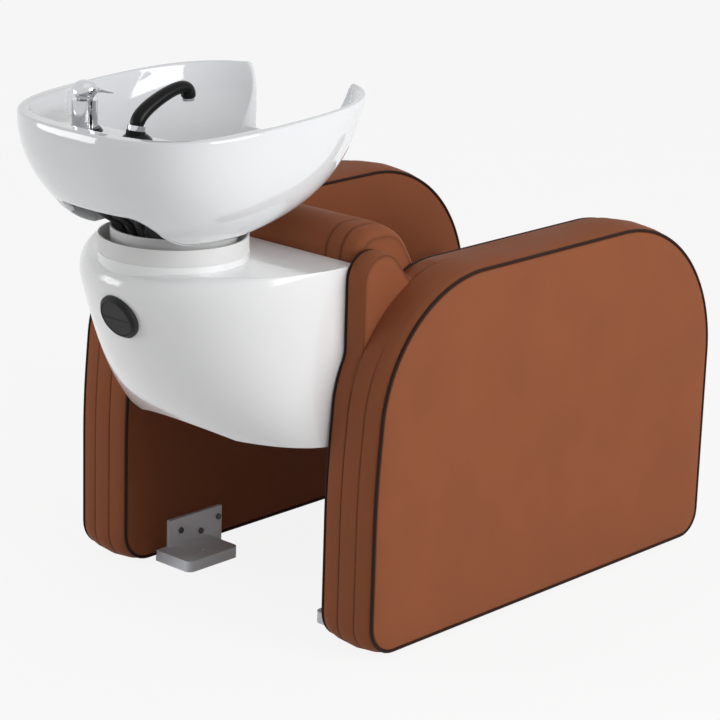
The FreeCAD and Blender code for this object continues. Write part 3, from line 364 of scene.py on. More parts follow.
powder_black = coated(
    "powder_black", srgb(40, 40, 42), srgb(52, 52, 54), 0.5, (9.0, 900.0, 0.00025), srgb(64, 64, 66))
zinc = polished("zinc_steel", (0.5, 0.51, 0.53, 1), 0.3)
finish(powder_black, "frame_steel", 0.0008,
       "front_crossbar", "rear_crossbar", "basin_support", "hinge_bracket", "tilt_leaf")
finish(zinc, "fasteners", 0.0005, "hinge_pin", "frame_bolts", "leaf_bolts")

# Panel cores, seat and backrest boards and cleats: birch plywood, cut and left bare under the covers.
# The cleats are glued and screwed to the cores' inner faces.


def plywood(name):
    """Pale wood with the bands of its plies and a drawn-out grain."""
    material, tree = new_material(name)
    place = own_place(tree)
    sockets = {"Vector": place, "Scale": 110.0, "Distortion": 1.5, "Detail": 2.0}
    plies = add_node(tree, "ShaderNodeTexWave", sockets, bands_direction="Z").outputs["Fac"]
    stretched = add_node(tree, "ShaderNodeMapping", {"Vector": place, "Scale": (14, 120, 120)}).outputs[0]
    grain = noise(tree, stretched, 1.0, 5.0)
    mixed = combine(tree, "MULTIPLY", plies, grain)
    tone = blend(tree, mixed, srgb(196, 160, 112), srgb(150, 112, 70))
    surface(tree, {"Base Color": tone, "Roughness": 0.7, "Normal": raised(tree, grain, 0.0003, 0.6)})
    return material


birch = plywood("birch_plywood")
finish(birch, "plywood", 0.0006, "left_panel_core", "right_panel_core", "seat_board", "seat_cleats",
       "backrest_board", "backrest_cleats")

# Feet: pressed steel brackets at the back, painted light grey, with a drilled sole.
# Black screws hold them to the panels' inner faces. In front the panels stand on black plastic glides.
foot_grey = coated(
    "foot_paint", srgb(226, 231, 240), srgb(232, 236, 244), 0.42, (8.0, 700.0, 0.0002), srgb(238, 242, 248))
glide_black = coated("glide_plastic", srgb(30, 30, 31), srgb(38, 38, 39), 0.6, (8.0, 600.0, 0.0002))
finish(foot_grey, "foot_paint", 0.0025, "left_foot", "right_foot")
finish(powder_black, "fasteners", 0.0005, "foot_screws")
finish(glide_black, "glide_plastic", 0.001, "front_glides")

# Arm panels: foam pads on both sides of the core, under brown leatherette sewn in strips round the edge.
# The inner pad's cover rises as a wing beside the headrest. Dark piping is sewn in along both outer edges.
least_radius = 2.0
proud = 1.6
rod_radius = 2.5
rod_in = 2.6
rod_sides = 12
face_swell = 6
face_middle = np.array((0.0, 250.0))
wing_from_y, wing_from_z = 72, 446
seams_end_z, seams_fade = 545, 90
strip_swell, below_swell, front_swell, brow_swell, wing_swell = 5.5, 2.5, 4, 3, 2.5
rod_low, rod_high = (1000 * np.array(corner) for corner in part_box("left_outer_piping"))
pad_low, pad_high = (1000 * np.array(corner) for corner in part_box("left_inner_pad"))
front_y, back_y = rod_low[1] - 0.1, rod_high[1] + 0.1
low_z, top_z = rod_low[2] - 0.1, rod_high[2] + 0.1
inner_x, joint_x = pad_low[0], pad_high[0]
edge_x = rod_high[0] - 1.5
seam_x = (joint_x + edge_x) / 2
wing_y = back_y - 36
wing_top = top_z + 37
bend_drop, wing_drop, top_lean = 330, 171.5, 29
panel_outline = [
    (front_y, low_z, 45), (back_y, low_z, 55), (back_y, top_z - bend_drop, 1500),
    (back_y - top_lean, top_z, 238), (front_y, top_z, 265)]
wing_outline = panel_outline[:3] + [
    (back_y - top_lean * (bend_drop - wing_drop) / bend_drop, top_z - wing_drop, 190),
    (wing_y, top_z - 128, 40), (wing_y, wing_top, 44), (wing_y - 66, wing_top, 40),
    (wing_y - 114, top_z - 20.9, 20), (wing_y - 162.5, top_z, 166), panel_outline[4]]


def path_ring(corners, inset=0.0, counts=None, spacing=9.0):
    """Points round an outline of (y, z, radius) corners drawn in by inset, and each arc's and run's count."""
    runs = []
    for i, (y, z, radius) in enumerate(corners):
        here = np.array((y, z))
        before, after = np.array(corners[i - 1][:2]), np.array(corners[(i + 1) % len(corners)][:2])
        into = (here - before) / np.linalg.norm(here - before)
        onward = (after - here) / np.linalg.norm(after - here)
        into_side, onward_side = np.array((-into[1], into[0])), np.array((-onward[1], onward[0]))
        corner = here + (into_side + onward_side) * inset / (1 + into_side @ onward_side)
        hand = 1 if into[0] * onward[1] - into[1] * onward[0] > 0 else -1
        radius = max(radius - hand * inset, least_radius)
        half = math.acos(max(-1.0, min(1.0, float(into @ onward)))) / 2
        start = corner - into * radius * math.tan(half)
        end = corner + onward * radius * math.tan(half)
        runs.append((start, end, start + into_side * hand * radius, 2 * half * hand))
    if counts is None:
        counts = []
        for i, (start, end, centre, turn) in enumerate(runs):
            gap = np.linalg.norm(runs[(i + 1) % len(runs)][0] - end)
            arc = abs(turn) * np.linalg.norm(start - centre)
            counts.append((max(4, round(arc / spacing)), max(1, round(gap / spacing))))
    points = []
    for i, ((start, end, centre, turn), (arcs, steps)) in enumerate(zip(runs, counts)):
        arm_y, arm_z = start - centre
        for k in range(arcs):
            cos, sin = math.cos(turn * k / arcs), math.sin(turn * k / arcs)
            points.append(centre + (arm_y * cos - arm_z * sin, arm_y * sin + arm_z * cos))
        following = runs[(i + 1) % len(runs)][0]
        points += [end + (following - end) * k / steps for k in range(steps)]
    return np.array(points), counts


# Shared effect: the pebble grain of leatherette, and painted shade in the seams from the seams' own attribute
grain_group, grain_in, grain_out = node_group(
    "leather_grain_and_seam_shade", {"Scale": 750.0, "Depth": 0.00022},
    {"Mottle": "NodeSocketFloat", "Seam Shade": "NodeSocketFloat", "Normal": "NodeSocketVector"})
place = own_place(grain_group)
cells = add_node(grain_group, "ShaderNodeTexVoronoi",
                 {"Vector": place, "Scale": grain_in["Scale"], "Smoothness": 0.6},
                 feature="SMOOTH_F1").outputs["Distance"]
folds = noise(grain_group, place, 160.0, 3.0)
height = combine(grain_group, "SUBTRACT", cells, folds)
relief = raised(grain_group, height, grain_in["Depth"], 0.8, invert=True)
slow = noise(grain_group, place, 9.0, 4.0)
mottle = add_node(grain_group, "ShaderNodeMapRange",
                  {"Value": slow, "From Min": 0.3, "From Max": 0.7}).outputs[0]
# The seams' depth attribute masks the painted shade in their grooves.
sewn = add_node(grain_group, "ShaderNodeAttribute", attribute_name="sewn").outputs["Fac"]
for label, source in (("Mottle", mottle), ("Seam Shade", sewn), ("Normal", relief)):
    grain_group.links.new(source, grain_out.inputs[label])


def leatherette(name, tone):
    """Coated fabric with a pebble grain, slow changes of tone and painted shade along its seams."""
    material, tree = new_material(name)
    grain = add_node(tree, "ShaderNodeGroup", node_tree=grain_group).outputs
    # The seam tone is painted shade: the leather at about half its brightness where the seams and their
    # grooves lie.
    dark, light, seam_shade = ((*(min(1.0, share * c) for c in tone[:3]), 1.0) for share in (0.94, 1.05, 0.48))
    colour = blend(tree, grain["Mottle"], dark, light)
    colour = blend(tree, grain["Seam Shade"], colour, seam_shade)
    rough = add_node(tree, "ShaderNodeMapRange",
                     {"Value": grain["Mottle"], "To Min": 0.58, "To Max": 0.72}).outputs[0]
    surface(tree, {"Base Color": colour, "Roughness": rough, "Normal": grain["Normal"],
                   "Specular IOR Level": 0.1})
    return material


def mark_sewn(piece, amounts):
    """How deep in a seam each point lies, for the material's painted seam shade."""
    depths = piece.data.attributes.new("sewn", "FLOAT", "POINT").data
    depths.foreach_set("value", np.asarray(amounts, np.float32))


def outward(ring):
    """The way out of an outline at each of its points."""
    way = np.roll(ring, -1, 0) - np.roll(ring, 1, 0)
    way /= np.linalg.norm(way, axis=1)[:, None]
    return np.stack((way[:, 1], -way[:, 0]), 1)


def bulge(x, low, high):
    """A strip's rise at x between its two seams, 1 in the middle."""
    return max(0.0, 1 - ((2 * x - low - high) / (high - low)) ** 2)


def on_wing(ring):
    return (ring[:, 0] > wing_from_y) & (ring[:, 1] > wing_from_z)


def crown(ring, x, winged):
    """How far the stuffed edge swells past its piping: most at the front and below, a little on the wing."""
    out = outward(ring)
    below, above = np.maximum(0, -out[:, 1]), np.maximum(0, out[:, 1])
    ahead = np.maximum(0, -out[:, 0])
    rise = strip_swell + below_swell * below + front_swell * ahead + brow_swell * ahead * above
    rise = bulge(x, inner_x, edge_x) * rise
    if winged:
        rise = np.where(on_wing(ring), wing_swell * bulge(x, inner_x, joint_x), rise)
    return out * rise[:, None]


def slab_rings(outline, profile, faces, winged):
    """Rings of a padded slab: its edge from (x, inset, sewn) and its faces from (x, share) of an end ring.
    The seams between the edge strips fade out over the panel's top."""
    _, counts = path_ring(outline)
    flat, _ = path_ring(outline, proud, counts)
    rings = []
    for x, inset, depth in profile:
        ring, _ = path_ring(outline, inset, counts)
        if min(abs(x - joint_x), abs(x - seam_x)) < 1:
            share = np.clip((seams_end_z - ring[:, 1]) / seams_fade, 0, 1)
            if winged:
                share = np.where(on_wing(ring), 1, share)
            ring, depth = flat + (ring - flat) * share[:, None], depth * share
        rings.append((x, ring + crown(ring, x, winged), depth))
    for end, shares in faces:
        _, ring, _ = rings[end]
        made = [(x, face_middle + (ring - face_middle) * share, 0.0) for x, share in shares]
        rings = rings + made if end else made[::-1] + rings
    return rings


def slab_piece(name, rings, side):
    """A panel's cover from its rings, mirrored for the right hand."""
    count = len(rings[0][1])
    points, sewn = [], []
    for x, ring, depth in rings:
        points += [(side * x, y, z) for y, z in ring]
        sewn += list(np.broadcast_to(depth, count))
    faces = capped_faces(len(rings), count)
    if side < 0:
        faces = [face[::-1] for face in faces]
    piece = mesh_piece(name, points, faces, leather, "frame")
    mark_sewn(piece, sewn)
    return piece


def rod_piece(name, outline, x, side):
    """The piping cord's covered roll along an outline."""
    line, _ = path_ring(outline, rod_radius + 0.1)
    points = []
    for (y, z), (out_y, out_z) in zip(line, outward(line)):
        for k in range(rod_sides):
            turn = 2 * math.pi * k / rod_sides
            across = side * (x + rod_radius * math.sin(turn))
            cos = math.cos(turn)
            points.append((across, y + out_y * rod_radius * cos, z + out_z * rod_radius * cos))
    faces = ring_faces(len(line), rod_sides, closed=True)
    if side > 0:
        faces = [face[::-1] for face in faces]
    return mesh_piece(name, points, faces, piping_skin, "frame")


leather = leatherette("brown_leatherette", srgb(142, 83, 54))
piping_skin = leatherette("dark_piping", srgb(46, 30, 24))
outer_profile = [
    (joint_x, proud + 1.9, 1.0), (joint_x + 0.8, proud + 0.7, 0.4), (joint_x + 3.5, proud + 0.2, 0),
    ((joint_x + seam_x) / 2, proud - 0.6, 0), (seam_x - 3.5, proud + 0.2, 0),
    (seam_x - 0.8, proud + 0.7, 0.4), (seam_x, proud + 1.9, 1.0), (seam_x + 0.8, proud + 0.7, 0.4),
    (seam_x + 3.5, proud + 0.2, 0),
    ((seam_x + edge_x) / 2 - 2, proud - 0.6, 0), (edge_x - 5.0, proud + 0.1, 0),
    (edge_x - 3.9, proud + 0.9, 0.3), (edge_x - 3.3, proud + 3.0, 0.9), (edge_x - 1.4, proud + 4.4, 0.9),
    (edge_x, proud + 4.2, 0.5)]
for reach in (2.5, 6, 11, 18, 28, 42, 62, 88):
    outer_profile.append((edge_x + face_swell * (1 - math.exp(-reach / 17)), proud + 3.8 + reach, 0.0))
outer_faces = [
    (-1, [(edge_x + face_swell, share) for share in (0.86, 0.7, 0.5, 0.3, 0.1)]),
    (0, [(joint_x, share) for share in (0.8, 0.3)])]
inner_profile = [
    (inner_x, proud + 30, 0), (inner_x, proud + 12, 0), (inner_x + 0.2, proud + 6.5, 0),
    (inner_x + 0.6, proud + 4.2, 0.5), (inner_x + 1.6, proud + 4.4, 0.9), (inner_x + 3.3, proud + 3.0, 0.9),
    (inner_x + 3.9, proud + 0.9, 0.3), (inner_x + 5.0, proud + 0.1, 0),
    ((inner_x + joint_x) / 2, proud - 0.6, 0), (joint_x - 3.5, proud + 0.2, 0),
    (joint_x - 0.8, proud + 0.7, 0.4), (joint_x, proud + 1.9, 1.0), (joint_x + 0.2, proud + 5, 0.3),
    (joint_x + 1.0, proud + 9, 0), (joint_x + 1.4, proud + 16, 0)]
inner_faces = [
    (-1, [(joint_x + 1.4, share) for share in (0.85, 0.5, 0.1)]),
    (0, [(inner_x, share) for share in (0.85, 0.5, 0.1)])]
outer_rings = slab_rings(panel_outline, outer_profile, outer_faces, False)
inner_rings = slab_rings(wing_outline, inner_profile, inner_faces, True)
for hand, side in (("left", 1), ("right", -1)):
    outer = slab_piece(hand + "_outer_cover", outer_rings, side)
    inner = slab_piece(hand + "_wing_cover", inner_rings, side)
    for cover, node in ((outer, "_outer_pad"), (inner, "_inner_pad")):
        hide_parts(hand + node)
    outer_rod = rod_piece(hand + "_outer_rod", panel_outline, edge_x + proud - rod_in, side)
    inner_rod = rod_piece(hand + "_inner_rod", wing_outline, inner_x - proud + rod_in, side)
    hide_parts(hand + "_outer_piping")
    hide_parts(hand + "_inner_piping")

# Seat and backrest: foam cushions in the same leatherette, pulled tight over their boards and sewn across.
# The backrest's rolled top has cross seams near its ends and a sewn end cap.
half_width = 1000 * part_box("backrest_cushion")[1].x
seat_low, seat_high = (1000 * np.array(corner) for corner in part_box("seat_cushion"))
roll_low, roll_high = (1000 * np.array(corner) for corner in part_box("backrest_cushion"))
seat_front, seat_back, seat_top = seat_low[1] + 12, seat_high[1] - 12, seat_high[2] - 12
seat_outline = [
    (seat_front, seat_low[2], 14), (seat_back, seat_low[2], 14), (seat_back, seat_top, 22),
    (seat_front, seat_top, 46)]
backrest_outline = [
    (roll_low[1] + 75, roll_low[2], 14), (roll_high[1], roll_high[2] - 70, 30),
    (roll_high[1], roll_high[2], 44), (roll_high[1] - 110, roll_high[2], 75),
    (roll_low[1], roll_low[2] + 40, 14)]
roll_seams = [end * (half_width - back) for end in (-1, 1) for back in (38, 68)]
end_room = 9
seam_reach = 5
tuck_width = tuck_depth = 1.8
fill_frames = 20
fill_reach = 0.005


def fill(piece, sewn):
    """Foam pressing the cover out between its seams: a short cloth run with no gravity, its motion capped."""
    held = piece.vertex_groups.new(name="held")
    held.add([int(i) for i in np.nonzero(sewn > 0.5)[0]], 1.0, "REPLACE")
    cloth = piece.modifiers.new("fill", "CLOTH")
    cloth.settings.quality = 5
    cloth.settings.mass = 0.3
    cloth.settings.tension_stiffness = cloth.settings.compression_stiffness = 40
    cloth.settings.use_pressure = True
    cloth.settings.uniform_pressure_force = 4
    cloth.settings.vertex_group_mass = "held"
    cloth.settings.effector_weights.gravity = 0
    cloth.collision_settings.use_collision = False
    cloth.point_cache.frame_start, cloth.point_cache.frame_end = 1, fill_frames
    scene = bpy.context.scene
    for number in range(1, fill_frames + 1):
        scene.frame_set(number)
    count = len(piece.data.vertices)
    rest, moved = np.empty(3 * count), np.empty(3 * count)
    piece.data.vertices.foreach_get("co", rest)
    made = piece.evaluated_get(bpy.context.evaluated_depsgraph_get()).to_mesh()
    made.vertices.foreach_get("co", moved)
    shift = (moved - rest).reshape(-1, 3)
    far = np.linalg.norm(shift, axis=1, keepdims=True)
    shift *= np.minimum(1.0, fill_reach / np.maximum(far, 1e-9))
    piece.modifiers.remove(cloth)
    piece.vertex_groups.remove(held)
    piece.data.vertices.foreach_set("co", rest + shift.ravel())
    piece.data.update()
    scene.frame_set(1)


def smooth_over(piece):
    """One step of subdivision, to round a coarse mesh."""
    smooth = piece.modifiers.new("smooth", "SUBSURF")
    smooth.levels = smooth.render_levels = 1


def cushion(name, outline, draw, rise, seams, node):
    """A cushion across the unit: sections along X, sewn in at seams and ends and filled by a cloth run."""
    stations = set(np.linspace(-half_width + end_room, half_width - end_room, 43).round(2))
    for seam in seams:
        stations = {x for x in stations if abs(x - seam) > seam_reach}
        stations |= {seam - seam_reach, seam - 1.6, seam, seam + 1.6, seam + seam_reach}
    base, counts = path_ring(outline, 0, None, 12.0)
    centre, count = base.mean(0), len(base)

    def end_cap(end):
        """The sewn edge at one end and the flat face inside it."""
        cap = []
        for inset, back, depth in ((1.5, 4.5, 0.2), (4, 3.2, 0.8), (6.5, 2, 0.2)):
            cap.append((end * (half_width - back), path_ring(outline, draw + inset, counts)[0], depth))
        rim = cap[-1][1]
        for share in (0.88, 0.66, 0.4, 0.14):
            cap.append((end * half_width, centre + (rim - centre) * share, 0.0))
        return cap

    rings = end_cap(-1)[::-1]
    for x in sorted(stations):
        share = x / half_width
        tuck = max([math.exp(-((x - seam) / tuck_width) ** 2) for seam in seams], default=0.0)
        inset = draw * share ** 12 - rise * (1 - share ** 2) + tuck_depth * tuck
        rings.append((x, path_ring(outline, inset, counts)[0], tuck))
    rings += end_cap(1)
    points = [(x, y, z) for x, ring, _ in rings for y, z in ring]
    sewn = np.repeat([depth for _, _, depth in rings], count)
    piece = mesh_piece(name, points, capped_faces(len(rings), count), leather, "frame")
    fill(piece, sewn)
    mark_sewn(piece, sewn)
    smooth_over(piece)
    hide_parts(node)


cushion("seat_cover", seat_outline, 12, 10, [], "seat_cushion")
cushion("backrest_cover", backrest_outline, 14, 0, roll_seams, "backrest_cushion")

# Pedestal shell: glossy white plastic, vacuum formed with a rounded shoulder.
# Screws at its front edge hold it to the panels.
# The collar on it and the cover ring under the basin are matt ivory plastic.
shell_white = coated(
    "shell_gloss", (0.905, 0.91, 0.915, 1), (0.93, 0.935, 0.94, 1), 0.16, (3.0, 30.0, 0.0004),
    gloss={"Coat Weight": 0.4})
collar_ivory = coated(
    "collar_matt", (0.74, 0.745, 0.735, 1), (0.78, 0.785, 0.775, 1), 0.48, (6.0, 800.0, 0.00015))
finish(shell_white, "shell_plastic", 0, "pedestal_shell")
finish(zinc, "fasteners", 0.0005, "pedestal_screws")
finish(collar_ivory, "collar_plastic", 0.0008, "pedestal_collar", "tilt_ring")

# Control: a matt black two-way rocker in a bevelled ring, moulded plastic.
# Both are clipped through the shell into the switch behind it.
control_black = coated(
    "control_matt", srgb(29, 29, 30), srgb(35, 35, 36), 0.5, (8.0, 900.0, 0.0002), srgb(58, 58, 59),
    gloss={"Specular IOR Level": 0.12})
finish(control_black, "control_plastic", 0.0006, "control_bezel", "control_rocker", "switch_body")

# Basin: white glazed ceramic, slip cast in one piece.
# It has a rolled rim, a neck notch in front, and a tap deck and an arch behind.
# Its skirt stands on the cover ring, and the hinge's leaf is bolted under the bowl.
rim_y, foot_y, bowl_y = collar_y - 34.6, collar_y + 12.4, collar_y + 35.4
base_z, deck_z, floor_z, rim_z = 682.0, 849.0, 728.0, 881
rim_slope = 0.055
rim_round = 4.0
wall = 12
foot_half, side_half, rear_half, front_half = 121, 229, 253, 266
side_bend, rear_bend, front_bend = 4.05, 1.75, 3.09
notch_z, notch_slope, notch_ahead, notch_back = 802, 0.35, 266, 60
notch_flat, notch_bank = 68, 52
bowl_front_low, bowl_front_high, bowl_side_low, bowl_side_high = 70, 326, 75, 219
bowl_rear, bowl_rear_gain, bowl_bend, mouth_steep = 60, 5, 2.6, 9
deck_half, deck_rear, deck_steep = 196, 155, 60
bowl_blend, rim_blend = 12, 11
drain_half, waste_half, drain_sink = 36.3, 26, 4.2
arch_flat, arch_round, arch_rise, arch_half, arch_from = 76, 28, 26, 104, 20
well_half, well_top = 101, 709
foot_edge = [(0, 3), (0.08, 0.8), (0.25, 0), (0.75, 0), (0.92, 0.8), (1, 3)]
horns = np.arcsin(np.arange(notch_flat - 2, notch_flat + notch_bank + 4, 1.6) / 262)
turns = np.linspace(0, 2 * np.pi, 300, endpoint=False)
turns = np.unique(np.concatenate((turns, 1.5 * np.pi - horns, 1.5 * np.pi + horns)))
turn_cos, turn_sin, count = np.cos(turns), np.sin(turns), len(turns)


def swell(low, high, share, power):
    """A half width that grows from low to high, fast at first."""
    return low + (high - low) * (1 - (1 - np.clip(share, 0, 1)) ** power)


def rim_level(y):
    return rim_z + rim_slope * (rim_y - y)


def lower_of(a, b, round_off):
    """The lower of two heights, rounded where they meet."""
    h = np.clip(0.5 + 0.5 * (b - a) / round_off, 0, 1)
    return b + (a - b) * h - round_off * h * (1 - h)


def cap_level(x, y):
    """The rim's top, with the neck notch let into it: a broad U with rounded corners and rounded horns."""
    rim = rim_level(y)
    low = notch_z + notch_slope * (y - bowl_y + notch_ahead)
    climb = np.clip((np.abs(x) - notch_flat) / notch_bank, 0, 1)
    notch = low + (rim - low) * climb ** 2 * (3 - 2 * climb)
    return np.where(y < rim_y - notch_back, np.minimum(notch, rim), rim)


def skirt_point(share, inset=0.0):
    """The basin's outside at a share of its height for every turn, drawn in by inset."""
    square = 2 + share
    rear = swell(foot_half, rear_half, share, rear_bend)
    front = swell(foot_half, front_half, share, front_bend)
    depth = np.where(turn_sin > 0, rear, front) - inset
    width = swell(foot_half, side_half, share, side_bend) - inset
    reach = ((np.abs(turn_cos) / width) ** square + (np.abs(turn_sin) / depth) ** square) ** (-1 / square)
    x = reach * turn_cos
    y = foot_y + (rim_y - foot_y) * share + reach * turn_sin
    return x, y, base_z + (rim_level(y) - base_z) * share


def solve(test, low, high):
    """Where test turns from negative to positive between low and high, for every turn."""
    low, high = np.array(low, float), np.array(high, float)
    for _ in range(40):
        middle = (low + high) / 2
        below = test(middle) < 0
        low, high = np.where(below, middle, low), np.where(below, high, middle)
    return (low + high) / 2


def bowl_share(x, y):
    """How far up the bowl's wall a point in plan lies, past 1 outside its mouth."""
    def outside(share):
        square = 2 + share
        centre = bowl_y + (rim_y - bowl_y) * share
        front = swell(bowl_front_low, bowl_front_high, share, bowl_bend) - (bowl_y - centre)
        rear = bowl_rear + bowl_rear_gain * share + bowl_y - centre
        depth = np.where(y > centre, rear, front)
        width = swell(bowl_side_low, bowl_side_high, share, bowl_bend)
        return (np.abs(x) / width) ** square + (np.abs(y - centre) / depth) ** square

    share = solve(lambda s: 1 - outside(s), np.zeros_like(x), np.ones_like(x))
    past = np.maximum(outside(np.ones_like(x)) ** (1 / 3) - 1, 0)
    return share + mouth_steep * past


def inside_level(x, y):
    """The height of the basin's upper surface at a point in plan."""
    bowl = floor_z + (rim_level(y) - floor_z) * bowl_share(x, y)
    depth = np.where(y > bowl_y, deck_rear, deck_half)
    spread = ((np.abs(x) / deck_half) ** 3 + (np.abs(y - bowl_y) / depth) ** 3) ** (1 / 3) - 1
    deck = deck_z + deck_steep * np.logaddexp(0, spread * deck_steep) / 6
    return lower_of(lower_of(bowl, deck, bowl_blend), cap_level(x, y), rim_blend)


def from_drain(way, reach):
    """Points in plan at a reach from the drain's centre, along a way for every turn."""
    far = np.linalg.norm(way, axis=0)
    return reach * way[0] / far, bowl_y + reach * way[1] / far


def arch_level(x, y):
    """The skirt's lower edge, raised over the broad arch behind."""
    rise = arch_rise + np.sqrt(arch_round ** 2 - np.clip(np.abs(x) - arch_flat, 0, arch_round) ** 2)
    return base_z + np.where((y > collar_y + arch_from) & (np.abs(x) < arch_half), rise, 0)


def below_rim(share):
    x, y, z = skirt_point(share)
    return z - cap_level(x, y) + rim_round


def above_arch(share):
    x, y, z = skirt_point(share)
    return z - arch_level(x, y)


def below_bowl(share):
    x, y, z = skirt_point(share, wall)
    return z - inside_level(x, y) + wall


# The bowl's inside, in even steps from the drain up to the lip
top_share = solve(below_rim, np.zeros(count), np.ones(count))
lip_x, lip_y, _ = skirt_point(top_share)
lip_way = np.stack((lip_x, lip_y - bowl_y))
lip_reach = np.linalg.norm(lip_way, axis=0)
span = np.linspace(0, 1, 500)
reach = drain_half + (lip_reach - drain_half) * span[:, None]
to_lip = np.clip(1 - (lip_reach - reach) / rim_round, 0, 1)
height = inside_level(*from_drain(lip_way, reach)) - rim_round * (1 - np.sqrt(1 - to_lip ** 2))
run = np.cumsum(np.hypot(np.diff(reach, axis=0), np.diff(height, axis=0)), axis=0)
run = np.concatenate((np.zeros((1, count)), run))
wanted = np.linspace(0, 1, 130)
even = np.stack([np.interp(wanted * run[-1, k], run[:, k], span) for k in range(count)], 1)
basin_rings = []
for row in even:
    x, y = from_drain(lip_way, drain_half + (lip_reach - drain_half) * row)
    basin_rings.append((x, y, np.array([np.interp(row[k], span, height[:, k]) for k in range(count)])))

# The skirt's outside down to its foot and the arch, and the edge under it
low_share = solve(above_arch, np.zeros(count), np.full(count, 0.6))
for step in np.linspace(1, 0, 60)[1:-1]:
    basin_rings.append(skirt_point(low_share + (top_share - low_share) * step))
low_x, low_y, low_z = skirt_point(low_share)
from_well = np.hypot(low_x, low_y - collar_y) / well_half
on_foot = low_z < well_top
jamb = (low_y > collar_y + arch_from) & on_foot
under_x, under_y, _ = skirt_point(low_share, wall)
under_x = np.where(on_foot, low_x / from_well, under_x)
under_y = np.where(on_foot, collar_y + (low_y - collar_y) / from_well, under_y)
under_x = np.where(jamb, np.sign(low_x) * np.minimum(np.abs(low_x) - 1.5, arch_half), under_x)
under_y = np.where(jamb, low_y - 2, under_y)
for share, rise in foot_edge:
    basin_rings.append((low_x + (under_x - low_x) * share, low_y + (under_y - low_y) * share, low_z + rise))
basin_rings.append((under_x, under_y, np.maximum(low_z + 4, well_top + 2)))

# The skirt's inside up to the bowl, the bowl's underside and the drain's edge
inner_share = np.maximum(low_share + 0.03, 0.18)
join_share = solve(below_bowl, inner_share, np.full(count, 0.97))
for step in np.linspace(0, 1, 16):
    basin_rings.append(skirt_point(inner_share + (join_share - inner_share) * step, wall))
join_x, join_y, _ = basin_rings[-1]
join_way = np.stack((join_x, join_y - bowl_y))
join_reach = np.linalg.norm(join_way, axis=0)
for step in np.linspace(0, 1, 40)[1:]:
    x, y = from_drain(join_way, join_reach + (waste_half - join_reach) * step)
    basin_rings.append((x, y, np.minimum(inside_level(x, y) - wall, basin_rings[-1][2] + 40)))
for half in (waste_half, drain_half):
    basin_rings.append((*from_drain(lip_way, half), np.full(count, floor_z - drain_sink)))
basin_points = np.concatenate([np.stack(ring, 1) for ring in basin_rings])
basin_faces = ring_faces(len(basin_rings), count, closed=True)
glaze = coated(
    "white_glaze", (0.86, 0.88, 0.9, 1), (0.885, 0.9, 0.92, 1), 0.07, (4.0, 12.0, 0.0006),
    gloss={"Coat Weight": 0.6})
basin = mesh_piece("basin_ceramic", basin_points, basin_faces, glaze, "basin")
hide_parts("basin")

# Waste: a chromed flange and grid in the bowl's floor, over a grey plastic tail and bottle trap.
# The flange clamps on the ceramic, and the trap hangs from the tail.
waste_grey = coated("waste_grey", srgb(120, 122, 126), srgb(134, 136, 140), 0.38, (7.0, 500.0, 0.0002))
finish(chrome, "chrome", 0.0005, "waste_flange", "waste_grid")
finish(waste_grey, "waste_plastic", 0.0008, "waste_tail", "waste_trap")

# Mixer: a chromed brass column on a black plastic base ring, clamped through the deck by a grey plastic nut.
# A stem turns in it and carries the domed lever cap with its short bill.
gloss_black = coated(
    "gloss_black", srgb(9, 9, 10), srgb(13, 13, 14), 0.3, (8.0, 40.0, 0.0002), srgb(18, 18, 19),
    gloss={"Specular IOR Level": 0.14})
finish(chrome, "chrome", 0.0008, "mixer_body", "mixer_stem")
finish(waste_grey, "waste_plastic", 0.0008, "mixer_nut")
finish(gloss_black, "black_plastic", 0.0008, "mixer_base_ring")
column_low, column_high = (1000 * np.array(corner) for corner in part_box("mixer_body"))
mixer_x, mixer_y = (column_low[0] + column_high[0]) / 2, (column_low[1] + column_high[1]) / 2
pivot_z = column_high[2] + 10
round_sides = 32
roundness = 0.88
bill_sections = [
    (-20.3, 1.0, 0.8, -0.9), (-19.5, 6.0, 4.5, -1.3), (-17.0, 11.5, 9.8, -2.4), (-13.0, 15.8, 14.2, -4.0),
    (-8.0, 18.8, 17.6, -6.0), (-3.0, 20.2, 19.4, -8.0), (2.0, 20.3, 20.0, -8.8), (7.0, 19.2, 19.4, -7.8),
    (11.0, 17.4, 17.8, -6.4), (15.0, 14.8, 15.2, -4.6), (19.0, 12.2, 12.0, -3.4), (24.0, 10.4, 8.2, -3.0),
    (30.0, 9.2, 4.8, -3.4), (37.0, 8.4, 1.8, -4.8), (44.0, 7.8, -0.8, -6.2), (51.0, 7.0, -3.2, -7.6),
    (56.0, 5.2, -5.0, -8.6), (58.5, 2.2, -6.4, -8.4)]
lever_points = []
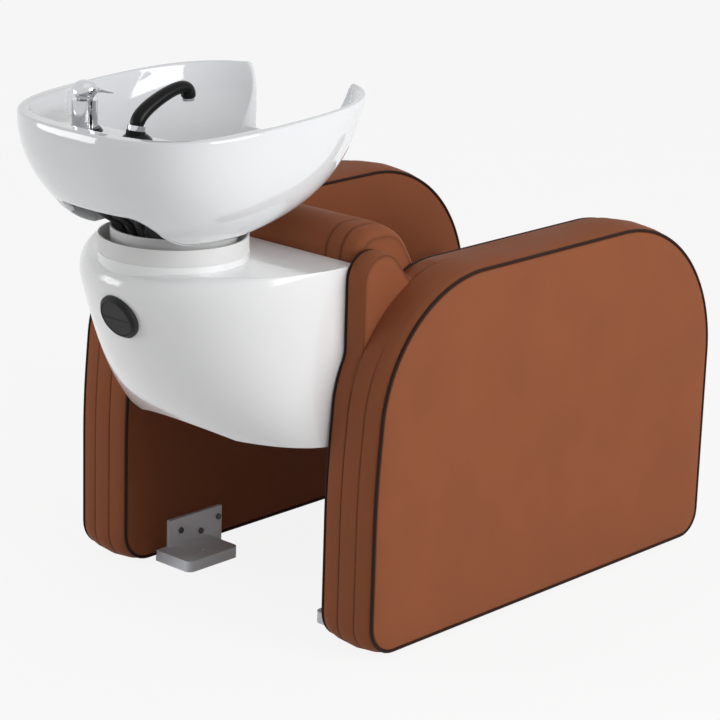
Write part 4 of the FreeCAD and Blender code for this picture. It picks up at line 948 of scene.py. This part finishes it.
for ahead, wide, top, low in bill_sections:
    for k in range(round_sides):
        cos, sin = math.cos(2 * math.pi * k / round_sides), math.sin(2 * math.pi * k / round_sides)
        x = math.copysign(abs(cos) ** roundness, cos) * wide
        z = math.copysign(abs(sin) ** roundness, sin) * (top - low) / 2
        lever_points.append((mixer_x + x, mixer_y - ahead, pivot_z + (top + low) / 2 + z))
lever_faces = capped_faces(len(bill_sections), round_sides)
lever = mesh_piece("lever_cap", lever_points, lever_faces, chrome, "mixer_lever")
smooth_over(lever)
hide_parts("mixer_lever")

# Hand shower: a moulded black handle with a small chromed rose, in a chromed swivel collar.
# The collar turns on a black domed holder, which a nut clamps under the deck.
# The handle slides out of the collar along its leaning axis.
shower_x = -52
handle_line = np.array([
    (518.9, 866.0, 9.6), (518.3, 870.6, 10.4), (517.6, 873.0, 11.3), (515.6, 878.0, 11.7),
    (511.5, 883.4, 11.8), (505.0, 889.0, 11.7), (496.5, 894.5, 11.5), (486.0, 900.0, 11.3),
    (474.0, 905.4, 11.0), (461.0, 910.4, 10.7), (447.5, 914.6, 10.3), (434.5, 917.6, 10.0),
    (424.0, 918.4, 10.2), (415.5, 916.6, 10.9), (411.2, 912.0, 11.5), (410.2, 906.5, 11.9),
    (410.0, 902.0, 11.7), (410.0, 900.2, 10.6)])
handle_way = np.gradient(handle_line[:, :2], axis=0)
handle_way /= np.linalg.norm(handle_way, axis=1)[:, None]
handle_points = []
for (y, z, radius), (along_y, along_z) in zip(handle_line, handle_way):
    for k in range(round_sides):
        turn = 2 * math.pi * k / round_sides
        across, out = radius * math.cos(turn), radius * math.sin(turn)
        handle_points.append((across + shower_x, y - along_z * out, z + along_y * out))
handle_faces = capped_faces(len(handle_line), round_sides)
handle = mesh_piece("shower_handle", handle_points, handle_faces, gloss_black, "hand_shower")
smooth_over(handle)
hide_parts("hand_shower")
finish(gloss_black, "black_plastic", 0.0006, "shower_holder")
finish(waste_grey, "waste_plastic", 0.0008, "holder_nut")
finish(chrome, "chrome", 0.0006, "shower_rose", "swivel_collar")
